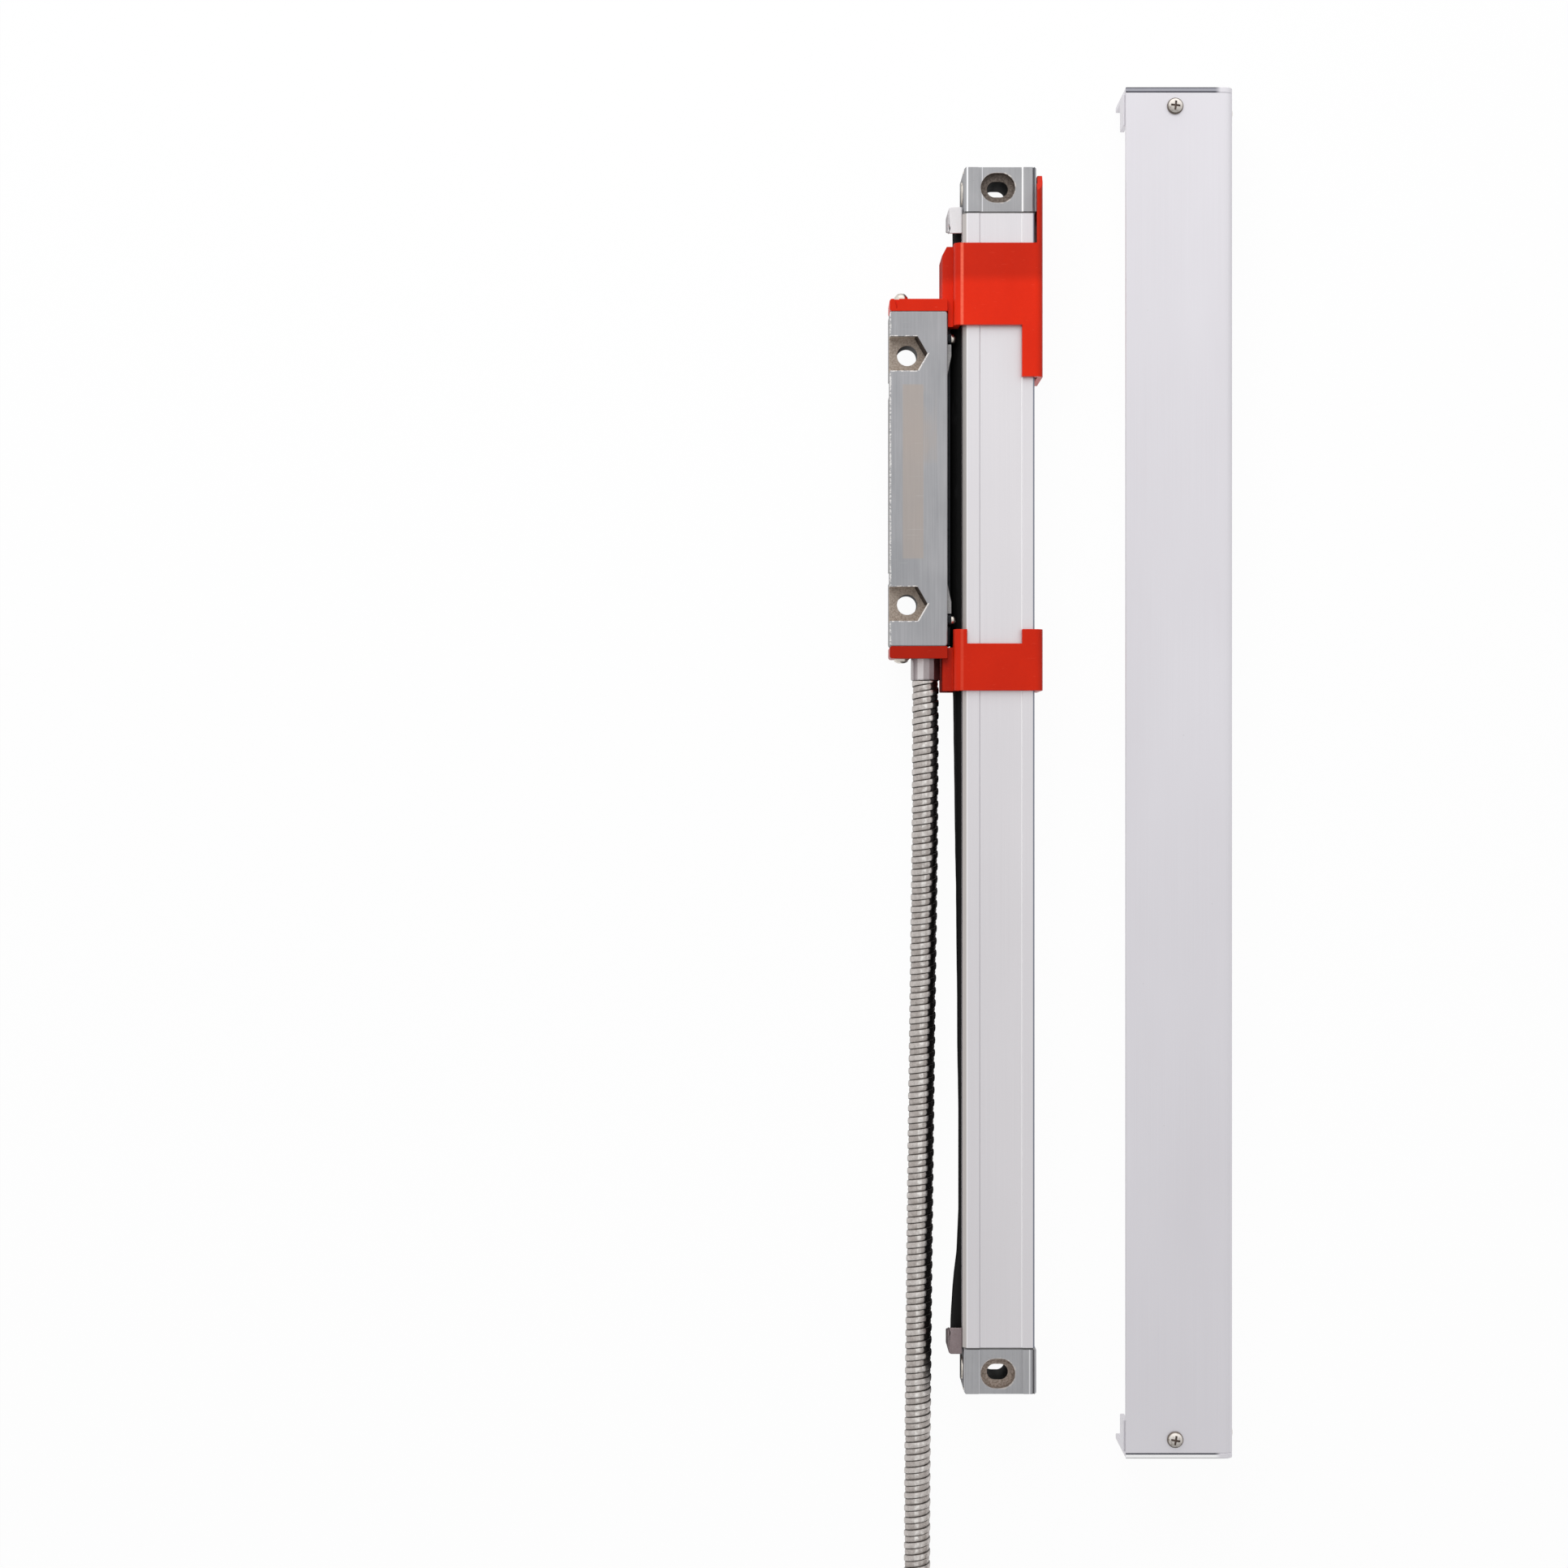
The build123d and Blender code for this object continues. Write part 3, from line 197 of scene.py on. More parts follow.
class Finish(Graph):
    """One material. Lengths in it are millimetres on the object."""

    def __init__(self, name, **constants):
        self.material = bpy.data.materials.new(name)
        self.material.use_nodes = True
        super().__init__(self.material.node_tree)
        self.tree.nodes.clear()
        shader = self.node("ShaderNodeBsdfPrincipled")
        self.node("ShaderNodeOutputMaterial", {0: shader}, output=None)
        self.shader = shader.socket.node
        for socket, value in constants.items():
            self.shader.inputs[socket.replace("_", " ")].default_value = value
        self.place = self.scaled(self.node("ShaderNodeTexCoord", output="Object"), 1000.0)
        self.x, self.y, self.z = self.place.parts()
        facing = self.node("ShaderNodeNewGeometry", output="Normal").parts()
        self.facing_x, self.facing_z = facing[0], facing[2]

    def grain(self, scale, detail=2.0, stretch=(1.0, 1.0, 1.0), rough=0.5, shift=0.0):
        """Noise from 0 to 1, about 1/scale mm across, longer along an axis whose stretch is under 1."""
        place = self.vector("MULTIPLY_ADD", self.place, stretch, (shift, 1.7 * shift, -shift))
        inputs = {"Vector": place, "Scale": scale, "Detail": detail, "Roughness": rough}
        return self.node("ShaderNodeTexNoise", inputs, output=0)

    def cells(self, scale):
        return self.node("ShaderNodeTexVoronoi", {"Vector": self.place, "Scale": scale}, output="Distance")

    def attribute(self, name):
        return self.node("ShaderNodeAttribute", output="Fac", attribute_name=name)

    def upper_half(self):
        """1 above the body's middle, away from the cable."""
        return self.y.over(-10.0, 10.0)

    def upper_bracket(self):
        """1 on the bracket at the head's upper end, 0 on the lower one."""
        return self.y.over(60.0, 100.0)

    def feed(self, name, channel):
        self.tree.links.new(channel.socket, self.shader.inputs[name])

    def relief(self, height, depth, strength=1.0):
        """Bump of the given depth in millimetres where height goes from 0 to 1."""
        inputs = {"Height": height, "Distance": depth * MM, "Strength": strength}
        self.feed("Normal", self.node("ShaderNodeBump", inputs))


def anodised(name, colour, darker, roughness=0.4, painted_light_strips=()):
    """Satin anodised aluminium with lengthwise drawing lines, and strips of painted highlight and shade on
    its front.
    """
    f = Finish(name, Metallic=0.82)
    lines = f.grain(1.0, 4, (7.0, 0.015, 7.0))
    broad = f.grain(0.035, 3, (1.0, 0.35, 1.0), shift=3.0)
    matt = f.grain(14.0, 2)
    specks = f.cells(0.11).over(0.0, 0.03)
    shade = f.mix(darker, colour, (lines * 0.35 + broad * 0.5 + matt * 0.3 - 0.08).over(0.1, 0.9))
    shade = f.mix(f.scaled(shade, 0.82), shade, specks)
    # Painted highlights and shade along the front's edges and steps
    for low, high, soft, deep, seen, amount in painted_light_strips:
        in_front = f.z.over(body_front_z - deep, body_front_z - deep + 0.2)
        shade = f.mix(shade, seen, f.x.within(low, high, soft) * in_front * amount)
    f.feed("Base Color", shade)
    f.feed("Roughness", roughness + (matt - 0.5) * 0.1 + (lines - 0.5) * 0.08)
    f.relief(lines * 0.4 + matt * 0.6, 0.012, 0.35)
    return f.material


def folded_cap_finish():
    """The cover's end plates: satin aluminium, with painted light on the sheared front edge: shaded grey at
    the upper end, bright at the lower end, crossed by dark lines.
    """
    f = Finish("folded_cap", Metallic=0.82)
    matt = f.grain(14.0, 2)
    cloud = (matt * 0.6 + f.grain(0.035, 3) * 0.6 - 0.1).over(0.1, 0.9)
    shade = f.mix(tone(216, 213, 218), tone(228, 226, 231), cloud)
    upper = f.upper_half()
    beyond = abs(f.y - cover_middle_y) - cover_half_length
    # Painted light on the sheared edge: white at the lower end, shaded grey at the upper end
    cap_edge_painted_light = f.mix(tone(255, 255, 255), tone(160, 160, 168), upper)
    line = beyond.within(0.05, 0.4, 0.08) + beyond.within(1.3, 1.6, 0.08) * (0.4 + upper * 0.6)
    cap_edge_painted_light = f.mix(cap_edge_painted_light, tone(88, 88, 96), line)
    front = f.z.over(cover_front_z - 0.5, cover_front_z - 0.3)
    edge = beyond.over(-0.05, 0.05) * front * (1 - f.x.over(63.0, 65.0))
    f.feed("Base Color", f.mix(shade, cap_edge_painted_light, edge))
    f.feed("Roughness", 0.42 + (matt - 0.5) * 0.1)
    f.relief(matt, 0.012, 0.35)
    return f.material


def cast(name, colour, darker, stain, grain=2.2, roughness=0.5, metallic=0.75, depth=0.05, painted_light_strips=()):
    """Blasted casting: pitted, with darker hollows, a few bright nicks and strips of painted highlight and
    shade.
    """
    f = Finish(name, Metallic=metallic)
    fine = f.grain(grain * 3, 4, rough=0.65)
    broad = f.grain(0.12, 3)
    pits = 1 - f.cells(grain * 0.55).over(0.02, 0.22)
    nicks = f.grain(grain * 1.3, 2, shift=9.0).over(0.69, 0.74)
    shade = f.mix(darker, colour, (fine * 0.7 + broad * 0.6 - 0.15).over(0.15, 0.85))
    shade = f.mix(shade, stain, pits * 0.22)
    # Painted highlight and shade, in strips along x
    for low, high, soft, seen, amount in painted_light_strips:
        shade = f.mix(shade, seen, f.x.within(low, high, soft) * f.facing_z.over(-0.2, 0.1) * amount)
    f.feed("Base Color", f.mix(shade, tone(228, 227, 226), nicks * 0.35))
    f.feed("Roughness", roughness + (fine - 0.5) * 0.25 + pits * 0.1)
    f.relief(fine * 0.7 - pits * 0.6 + broad * 0.2, depth, 0.6)
    return f.material


# Painted highlight and shade lines along the end blocks' edges: x on the upper and on the lower block, half
# width, colour, amount
block_painted_edge_light = [
    (-9.0, -9.95, 0.2, tone(250, 250, 252), 0.9),
    (-4.6, -5.5, 0.1, tone(226, 226, 229), 0.8),
    (7.2, 9.2, 0.2, tone(255, 255, 255), 0.9),
    (10.3, 9.4, 0.08, tone(246, 246, 250), 0.8),
    (10.75, 9.8, 0.12, tone(92, 92, 98), 0.8),
]


def end_block_finish():
    """The end blocks: smooth front with drawn streaks and painted edge lines, and a rough brown-grey
    counterbore with painted shade inside and a painted highlight on its rim.
    """
    f = Finish("end_block_casting", Metallic=0.72)
    fine = f.grain(6.5, 4, rough=0.6)
    streaks = f.grain(1.0, 3, (3.0, 0.06, 3.0))
    broad = f.grain(0.14, 3, shift=2.0)
    pits = 1 - f.cells(0.8).over(0.01, 0.12)
    cloud = (fine * 0.4 + streaks * 0.5 + broad * 0.4 - 0.1).over(0.1, 0.9)
    face = f.mix(tone(156, 156, 159), tone(182, 182, 184), cloud)
    upper = f.upper_half()
    # Painted shade: the upper block's face is darker
    face = f.mix(face, f.scaled(face, 0.93), upper)
    # Painted highlight and shade lines along the edges, thinner and fainter on the lower block
    for upper_x, lower_x, half, seen, amount in block_painted_edge_light:
        thin = half * 0.4
        line = f.x.within(upper_x - half, upper_x + half, 0.08) * upper
        line = line + f.x.within(lower_x - thin, lower_x + thin, 0.08) * (1 - upper) * 0.6
        face = f.mix(face, seen, line * f.z.over(body_front_z - 0.6, body_front_z - 0.4) * amount)
    along = abs(f.y) - slot_y
    across = (abs(f.x) - counterbore_half_straight).at_least(0.0)
    from_slot = (across**2 + along**2) ** 0.5
    inside = 1 - from_slot.over(counterbore_radius, counterbore_radius + 0.15)
    hollow = inside * (1 - f.z.over(body_front_z - 0.14, body_front_z - 0.04))
    # Painted highlight on the counterbore's ragged rim, stronger on its right side
    rim_outer_radius = counterbore_radius + 0.3 + (fine - 0.5) * 0.7
    rim = from_slot.within(counterbore_radius - 0.15, rim_outer_radius, 0.1)
    rim = rim * f.z.over(body_front_z - 0.8, body_front_z - 0.6) * (0.25 + f.x.over(-1.0, 2.5) * 0.75)
    rust_spread = f.grain(1.6, 4, shift=4.0, rough=0.7).over(0.3, 0.68)
    rust = f.mix(tone(126, 113, 104), tone(192, 178, 167), rust_spread)
    # Painted shade: the upper counterbore's floor is darker
    rust = f.mix(rust, f.scaled(rust, 0.55), upper)
    at_floor = f.z.over(counterbore_floor_z - 0.7, counterbore_floor_z - 0.1)
    # Painted shade: the counterbore's walls are near black
    deep = f.mix(tone(15, 11, 9), rust, at_floor)
    colour = f.mix(f.mix(face, tone(112, 108, 106), pits * 0.45), deep, hollow)
    colour = f.mix(colour, tone(214, 208, 202), rim * f.grain(1.1, 3, shift=6.0).over(0.42, 0.6) * 0.8)
    f.feed("Base Color", colour)
    f.feed("Roughness", 0.46 + fine * 0.12 + hollow * 0.12)
    f.relief(fine * (0.4 + hollow * 1.6) + streaks * 0.3 - pits * 0.5, 0.07, 0.5)
    return f.material


def head_finish():
    """The reading head: milled front, ragged left edge, brownish nut pockets and cast sides, with painted
    highlights on its edges, painted light on the pockets' walls and painted shade in the pockets and holes.
    """
    f = Finish("head_casting", Metallic=0.7)
    fine = f.grain(7.0, 4, rough=0.6)
    milling = f.grain(1.0, 3, (2.6, 0.05, 2.6), shift=1.0)
    cloud = f.grain(0.09, 3, (1.0, 0.5, 1.0), shift=5.0)
    ragged = f.grain(2.2, 3, (1.0, 1.0, 0.4), shift=7.0)
    front = f.z.over(head_front_z - 0.3, head_front_z - 0.1)

    # Milled front, with a bare patch where a label would be, and scratches
    milled = (milling * 0.55 + cloud * 0.75 + fine * 0.15 - 0.25).over(0.12, 0.88)
    grey = f.mix(tone(154, 155, 158), tone(181, 180, 183), milled)
    bare = f.x.within(label_left_x, label_right_x, 0.25) * f.y.within(label_low_y, label_high_y, 0.6)
    bare = bare * (0.55 + cloud * 0.6)
    beside = f.x.within(-21.6, -18.2, 0.6) * f.y.within(95.0, 114.0, 3.0)
    bare = bare.at_least(beside * cloud.over(0.45, 0.6) * 0.6)
    grey = f.mix(grey, tone(176, 165, 157), bare * front * 0.85)
    scratches = f.grain(1.0, 2, (0.12, 3.2, 1.0), shift=8.0).over(0.7, 0.76) * f.x.within(-30.5, -23.0, 2.0)
    grey = f.mix(grey, tone(196, 195, 196), scratches * front * 0.35)
    side = f.mix(tone(120, 120, 122), tone(178, 176, 175), fine.over(0.3, 0.7))
    colour = f.mix(side, grey, front)

    # Nut pockets with brownish floors, their walls painted lighter, and painted shade in the holes
    pockets = pocket_rows(f)
    floor = pockets * f.z.within(pocket_floor_z - 0.4, head_front_z - 0.4, 0.15)
    rust_spread = (f.grain(1.9, 4, shift=3.0, rough=0.7) * 0.8 + fine * 0.3).over(0.32, 0.72)
    rust = f.mix(tone(142, 127, 115), tone(204, 191, 178), rust_spread)
    # Painted light: the pockets' walls are lighter than their floors
    rust = f.mix(f.scaled(rust, 1.15), rust, f.facing_z.over(0.2, 0.6))
    colour = f.mix(colour, rust, floor * 0.92)
    # Painted shade in the holes below the pockets' floors
    below_floor = 1 - f.z.over(pocket_floor_z - 1.0, pocket_floor_z - 0.2)
    deep = pockets * below_floor * f.x.within(hole_left_x, hole_right_x, 0.2)
    colour = f.mix(colour, tone(52, 46, 44), deep * 0.8)

    # Painted highlights along the ragged left edge, the pockets' rims and their lower slants, and painted
    # shadow below the upper slants
    wander = (ragged - 0.5) * 1.1
    # Painted highlight along the ragged left edge
    edge = (1 - f.x.over(wander - 31.55, wander - 31.3)) * f.z.over(head_front_z - 0.7, head_front_z - 0.4)
    colour = f.mix(colour, tone(232, 230, 228), edge * ragged.over(0.4, 0.55) * 0.85)
    # Painted highlight on the pockets' rims
    lip = pockets * front * f.grain(1.5, 3, shift=2.0).over(0.42, 0.6) * f.x.within(-31.6, -20.4, 0.1)
    colour = f.mix(colour, tone(236, 232, 228), lip * level_edges(f))
    bright, dark = slanted_edges(f)
    colour = f.mix(colour, tone(58, 48, 44), dark * (1 - front) * (0.6 + ragged * 0.5))
    colour = f.mix(colour, tone(238, 234, 230), bright * front * ragged.over(0.3, 0.5) * 0.9)
    f.feed("Base Color", colour)
    f.feed("Roughness", 0.44 + fine * 0.14 + floor * 0.12 + (1 - front) * 0.08)
    f.relief(fine * (0.35 + floor * 1.4 + (1 - front) * 0.7) + milling * 0.25 + edge * 0.6, 0.08, 0.5)
    return f.material


def pocket_rows(f):
    """1 across the head at the height of each nut pocket, as far as the pocket's point."""
    reach = pocket_half + 0.3
    rows = [f.y.within(y - reach, y + reach, 0.1) * (1 - f.x.over(-20.6, -20.4)) for y in head_bolt_ys]
    return rows[0].at_least(rows[1])


def level_edges(f):
    """1 along the nut pockets' upper and lower edges."""
    total = 0.0
    for y in head_bolt_ys:
        for edge in (y - pocket_half, y + pocket_half):
            total = total + f.y.within(edge - 0.28, edge + 0.28, 0.12) * (1 - f.x.over(-23.8, -23.4))
    return total


def slanted_edges(f):
    """1 along the pockets' lit lower slants, and 1 in the shadow below their upper slants."""
    slant = math.radians(30)
    bright = dark = 0.0
    for y in head_bolt_ys:
        right = (f.x - head_bolt_x) * math.cos(slant)
        above = (f.y - y) * math.sin(slant)
        bright = bright + (right - above).within(4.95, 5.35, 0.1) * f.y.within(y - pocket_half, y, 0.3)
        dark = dark + (right + above).within(4.5, 5.1, 0.2) * f.y.within(y, y + pocket_half, 0.3)
    return bright, dark


def plastic(name, colour, lighter, darker, roughness=0.34, bend=None):
    """Moulded plastic: flow marks, fine scratches and, on a bracket, a painted highlight along the bend and
    painted shade on parts of it.
    """
    f = Finish(name, Specular_IOR_Level=0.15)
    flow = f.grain(0.07, 3, (1.0, 0.6, 1.0))
    peel = f.grain(1.3, 2)
    fine = f.grain(11.0, 3)
    scratch = f.grain(1.0, 2, (0.35, 5.0, 1.0), shift=4.0).over(0.71, 0.76)
    shade = f.mix(darker, colour, (flow * 0.9 + peel * 0.25 - 0.1).over(0.2, 0.8))
    wear_and_highlight = scratch * 0.3 + fine.over(0.62, 0.8) * 0.12
    if bend:
        upper = f.upper_bracket()
        # Painted highlight along the bend, stronger on the upper bracket
        brightening = f.x.within(bend - 0.3, bend + 0.3, 0.25) * f.z.over(23.0, 23.6)
        wear_and_highlight = wear_and_highlight + brightening * (0.45 + peel * 0.4) * (0.3 + upper * 0.7)
        # Painted shade on the lower bracket, the arms and flange left of the bend, and the leg beside the
        # upper end block
        left_of_bend = 1 - f.x.over(bend - 3.0, bend - 2.0)
        in_shade = (1 - upper) * 0.18 + left_of_bend * (0.36 - upper * 0.2) + f.y.over(145.0, 149.0) * 0.3
        shade = f.mix(shade, f.scaled(shade, 0.2), in_shade)
    f.feed("Base Color", f.mix(shade, lighter, wear_and_highlight))
    f.feed("Roughness", roughness + (peel - 0.5) * 0.12 + scratch * 0.2)
    f.relief(peel * 0.5 + fine * 0.25 - scratch * 0.3, 0.03, 0.45)
    return f.material


def rubber(name, clean=tone(13, 13, 13), dusty=tone(40, 40, 41)):
    """Extruded rubber with lengthwise draw lines and a little dust."""
    f = Finish(name, Specular_IOR_Level=0.1)
    draw = f.grain(1.0, 3, (6.0, 0.05, 6.0))
    dust = f.grain(0.5, 4, (1.0, 0.3, 1.0), shift=2.0).over(0.56, 0.8)
    f.feed("Base Color", f.mix(clean, dusty, dust * 0.35 + draw * 0.1))
    f.feed("Roughness", 0.5 + dust * 0.3 + draw * 0.1)
    f.relief(draw, 0.04, 0.5)
    return f.material


def plated(name, colour, darker, roughness=0.22, recess=None):
    """Plated or turned metal: tool lines, grime and, on the cover's screws, painted shade in the cross
    recess below the height recess and round the head's edge.
    """
    f = Finish(name, Metallic=1.0)
    tool = f.grain(1.0, 2, (1.0, 14.0, 1.0), shift=1.0)
    fine = f.grain(9.0, 3)
    grime = f.grain(0.9, 4, shift=5.0).over(0.52, 0.75)
    shade = f.mix(f.mix(colour, darker, grime * 0.55), darker, fine.over(0.62, 0.8) * 0.4)
    if recess:
        # Painted shade in the cross recess and round the head's outer edge
        away = abs(f.y - cover_middle_y) - cover_screw_y
        from_axis = ((f.x - cover_screw_x) ** 2 + away**2) ** 0.5
        sunk = (1 - f.z.over(recess, recess + 0.1)) * (1 - from_axis.over(1.5, 1.6))
        shade = f.mix(shade, tone(66, 50, 42), sunk * 0.9)
        shade = f.mix(shade, darker, from_axis.over(1.95, 2.15) * 0.85)
    f.feed("Base Color", shade)
    f.feed("Roughness", roughness + grime * 0.16 + (fine - 0.5) * 0.08)
    f.relief(tool * 0.5 + fine * 0.4, 0.02, 0.4)
    return f.material


def armour_finish():
    """Interlocked strip: crests lighter than the warm valleys, dark seams, painted glints, and a painted
    dark reflection on the flank beside the body.
    """
    f = Finish("cable_armour", Metallic=1.0)
    crest = f.attribute("crest")
    phase = f.attribute("phase")
    fine = f.grain(3.0, 4, rough=0.7)
    brightening = f.grain(0.8, 3, shift=3.0).over(0.4, 0.7)
    seam = 1 - phase.over(0.0, 0.1) + phase.over(0.93, 1.0) + phase.within(0.49, 0.54, 0.05)
    shade = f.mix(tone(172, 164, 159), tone(214, 208, 204), crest * 0.6 + brightening * 0.4)
    shade = f.mix(shade, tone(118, 109, 102), fine.over(0.5, 0.75) * 0.55)
    bead = phase.within(0.12, 0.38, 0.1).at_least(phase.within(0.62, 0.86, 0.1))
    # Painted glints along the top and the right side of the turns
    painted_glint = f.facing_x.within(-0.2, 0.02, 0.12) * f.facing_z.over(0.4, 0.7) * bead
    painted_glint = painted_glint + f.facing_x.within(0.3, 0.42, 0.08) * crest * 0.8
    shade = f.mix(shade, tone(255, 252, 248), painted_glint * (0.2 + brightening * 0.55))
    shade = f.mix(shade, tone(40, 36, 34), seam * (0.6 + fine * 0.5))
    # Painted dark reflection of the body's side on the flank that faces it
    outermost = f.facing_x.over(0.86, 0.93) * (1 - crest.over(0.2, 0.7))
    beside_body = f.y.over(-186.0, -170.0)
    painted_dark_flank = (f.facing_x - crest * 0.16).over(0.3, 0.42) * (1 - outermost) * beside_body
    f.feed("Base Color", f.mix(shade, tone(30, 28, 29), painted_dark_flank * 0.93))
    f.feed("Roughness", 0.28 + fine * 0.16 + (1 - crest) * 0.08)
    f.relief(fine - seam * 0.8, 0.05, 0.5)
    return f.material


def glass_finish():
    """The glass scale, with its line grating and reference marks on one face."""
    f = Finish("optical_glass", IOR=1.52, Transmission_Weight=0.9)
    lines_per_mm, mark_pitch = 2.5, 50.0
    lines = (f.y * lines_per_mm).fraction().over(0.45, 0.55)
    track = f.x.within(0.5, 4.0, 0.05)
    mark = (f.y / mark_pitch + 0.01).fraction().within(0.0, 0.02, 0.002)
    marks = f.x.within(4.8, 6.2, 0.05) * mark
    f.feed("Base Color", f.mix(tone(226, 238, 234), tone(92, 96, 98), track * lines * 0.7 + marks * 0.9))
    f.feed("Roughness", 0.03 + track * lines * 0.2)
    return f.material


def board_finish():
    """Green solder mask with tracks and pads."""
    f = Finish("circuit_board", Specular_IOR_Level=0.5)
    tracks = f.node("ShaderNodeTexBrick", {"Vector": f.place, "Scale": 0.35, "Mortar Size": 0.06}, output=1)
    pads = 1 - f.cells(0.9).over(0.12, 0.16)
    green = f.mix(tone(18, 74, 44), tone(30, 98, 60), tracks)
    f.feed("Base Color", f.mix(green, tone(206, 190, 140), pads * 0.8))
    f.feed("Metallic", pads * 0.8)
    f.feed("Roughness", 0.35 + f.grain(2.0, 3) * 0.2 - pads * 0.1)
    f.relief(tracks * 0.5 + pads, 0.04, 0.6)
    return f.material


def strap_finish():
    """Hook-and-loop strap: a close looped pile on a weave."""
    f = Finish("black_strap", Sheen_Weight=0.6, Sheen_Roughness=0.5)
    pile = f.cells(2.4)
    weave = f.grain(3.5, 3, (1.0, 1.0, 2.5))
    f.feed("Base Color", f.mix(tone(12, 12, 13), tone(46, 46, 48), pile.over(0.1, 0.6) * 0.7 + weave * 0.2))
    f.feed("Roughness", 0.82 + weave * 0.15)
    f.relief(pile * 0.7 + weave * 0.3, 0.25, 0.8)
    return f.material


# Strips of painted highlight and shade along the edges and steps of the body's front: from x, to x,
# softness, depth below the front, colour, amount
body_painted_edge_light = [
    (-10.6, -9.3, 0.12, 2.6, tone(188, 182, 178), 0.9),
    (-9.2, -9.05, 0.1, 0.7, tone(252, 251, 252), 0.8),
    (-5.5, -5.3, 0.08, 0.7, tone(188, 186, 190), 0.7),
    (6.9, 7.15, 0.08, 0.7, tone(252, 251, 252), 0.75),
    (10.3, 10.9, 0.12, 1.5, tone(112, 118, 132), 0.9),
]
# Painted highlight and shade on the gland's facets, the reddish one a painted reflection of the bracket:
# from x, to x, softness, colour, amount
gland_painted_facet_light = [
    (-24.5, -24.1, 0.15, tone(120, 110, 112), 0.6),
    (-23.3, -21.9, 0.3, tone(226, 221, 221), 0.7),
    (-19.8, -17.0, 0.4, tone(98, 72, 74), 0.6),
]
finish = {
    "anodised_aluminium": anodised(
        "anodised_aluminium", tone(228, 225, 228), tone(214, 211, 214), painted_light_strips=body_painted_edge_light
    ),
    "cover_aluminium": anodised(
        "cover_aluminium", tone(228, 226, 231), tone(216, 213, 218), roughness=0.42
    ),
    "folded_cap": folded_cap_finish(),
    "cast_zinc": head_finish(),
    "end_block": end_block_finish(),
    "rough_casting": cast(
        "clamp_casting", tone(238, 236, 237), tone(210, 206, 208), tone(168, 158, 160), depth=0.09
    ),
    # The lower clamp: a darker, reddish copy of the clamp casting
    "stained_casting": cast(
        "darker_reddish_clamp_casting", tone(166, 152, 153), tone(112, 98, 99), tone(84, 70, 70), depth=0.1
    ),
    "optical_glass": glass_finish(),
    "black_rubber": rubber("black_rubber"),
    # The gaskets: black rubber lightened to pale grey, painted light against the shade in their joints
    "gasket": rubber("lightened_gasket_rubber", tone(142, 141, 140), tone(184, 182, 180)),
    "nickel_screws": plated("nickel_screws", tone(214, 207, 198), tone(104, 90, 78)),
    "cover_screws": plated("cover_screws", tone(208, 202, 196), tone(98, 86, 76), recess=26.85),
    "black_steel": plated("black_steel", tone(40, 41, 44), tone(18, 18, 20), roughness=0.4),
    "spring_steel": plated("spring_steel", tone(176, 178, 184), tone(128, 130, 140), roughness=0.25),
    "bearing_steel": plated("bearing_steel", tone(214, 216, 220), tone(150, 152, 158), roughness=0.12),
    "carriage_plastic": plastic(
        "carriage_plastic", tone(58, 60, 64), tone(96, 98, 102), tone(44, 45, 48), roughness=0.45
    ),
    "circuit_board": board_finish(),
    "orange_plastic": plastic(
        "orange_plastic", tone(234, 46, 16), tone(255, 120, 94), tone(222, 41, 14), bend=bracket_bend_x
    ),
    "gland_metal": cast(
        "gland_metal", tone(178, 169, 170), tone(144, 135, 136), tone(112, 98, 98),
        grain=3.0, roughness=0.36, metallic=0.85, depth=0.03, painted_light_strips=gland_painted_facet_light,
    ),
    "cable_armour": armour_finish(),
    "black_strap": strap_finish(),
    "plug_plastic": plastic(
        "plug_plastic", tone(46, 47, 50), tone(84, 85, 90), tone(34, 35, 37), roughness=0.5
    ),
    "plug_metal": plated("plug_metal", tone(206, 204, 200), tone(140, 134, 126), roughness=0.28),
    "plug_insulator": plastic(
        "plug_insulator", tone(22, 23, 25), tone(60, 61, 64), tone(14, 14, 16), roughness=0.5
    ),
}


# Pieces
def mesh_piece(name, points, faces, material=None):
    """A new mesh object at the origin."""
    mesh = bpy.data.meshes.new(name)
    mesh.from_pydata([tuple(p) for p in points], [], faces)
    piece = bpy.data.objects.new(name, mesh)
    bpy.context.scene.collection.objects.link(piece)
    if material:
        mesh.materials.append(material)
    return piece


def smooth(piece, sharp_over):
    """Smooth shading, but for edges whose faces turn by more than sharp_over degrees."""
    piece.data.shade_smooth()
    piece.data.set_sharp_from_angle(angle=math.radians(sharp_over))


def applied(piece):
    """The piece with its modifiers applied, as a new plain mesh object. The first object is removed."""
    depsgraph = bpy.context.evaluated_depsgraph_get()
    mesh = bpy.data.meshes.new_from_object(piece.evaluated_get(depsgraph), depsgraph=depsgraph)
    name = piece.name
    bpy.data.objects.remove(piece)
    mesh.name = name
    plain = bpy.data.objects.new(name, mesh)
    bpy.context.scene.collection.objects.link(plain)
    return plain


def rounded(piece, width, **settings):
    """The piece with its sharp edges rounded by width mm, applied."""
    bevel = piece.modifiers.new("ease", "BEVEL")
    bevel.width = width * MM
    bevel.segments = 2
    bevel.use_clamp_overlap = False
    for name, value in settings.items():
        setattr(bevel, name, value)
    return applied(piece)


def place_on(piece, body, slot, *nodes):
    """The piece, riding on the body, in place of the CAD nodes that it stands for, which are hidden. The
    slot is not used.
    """
    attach(piece, body)
    if nodes:
        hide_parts(*nodes)
    return piece


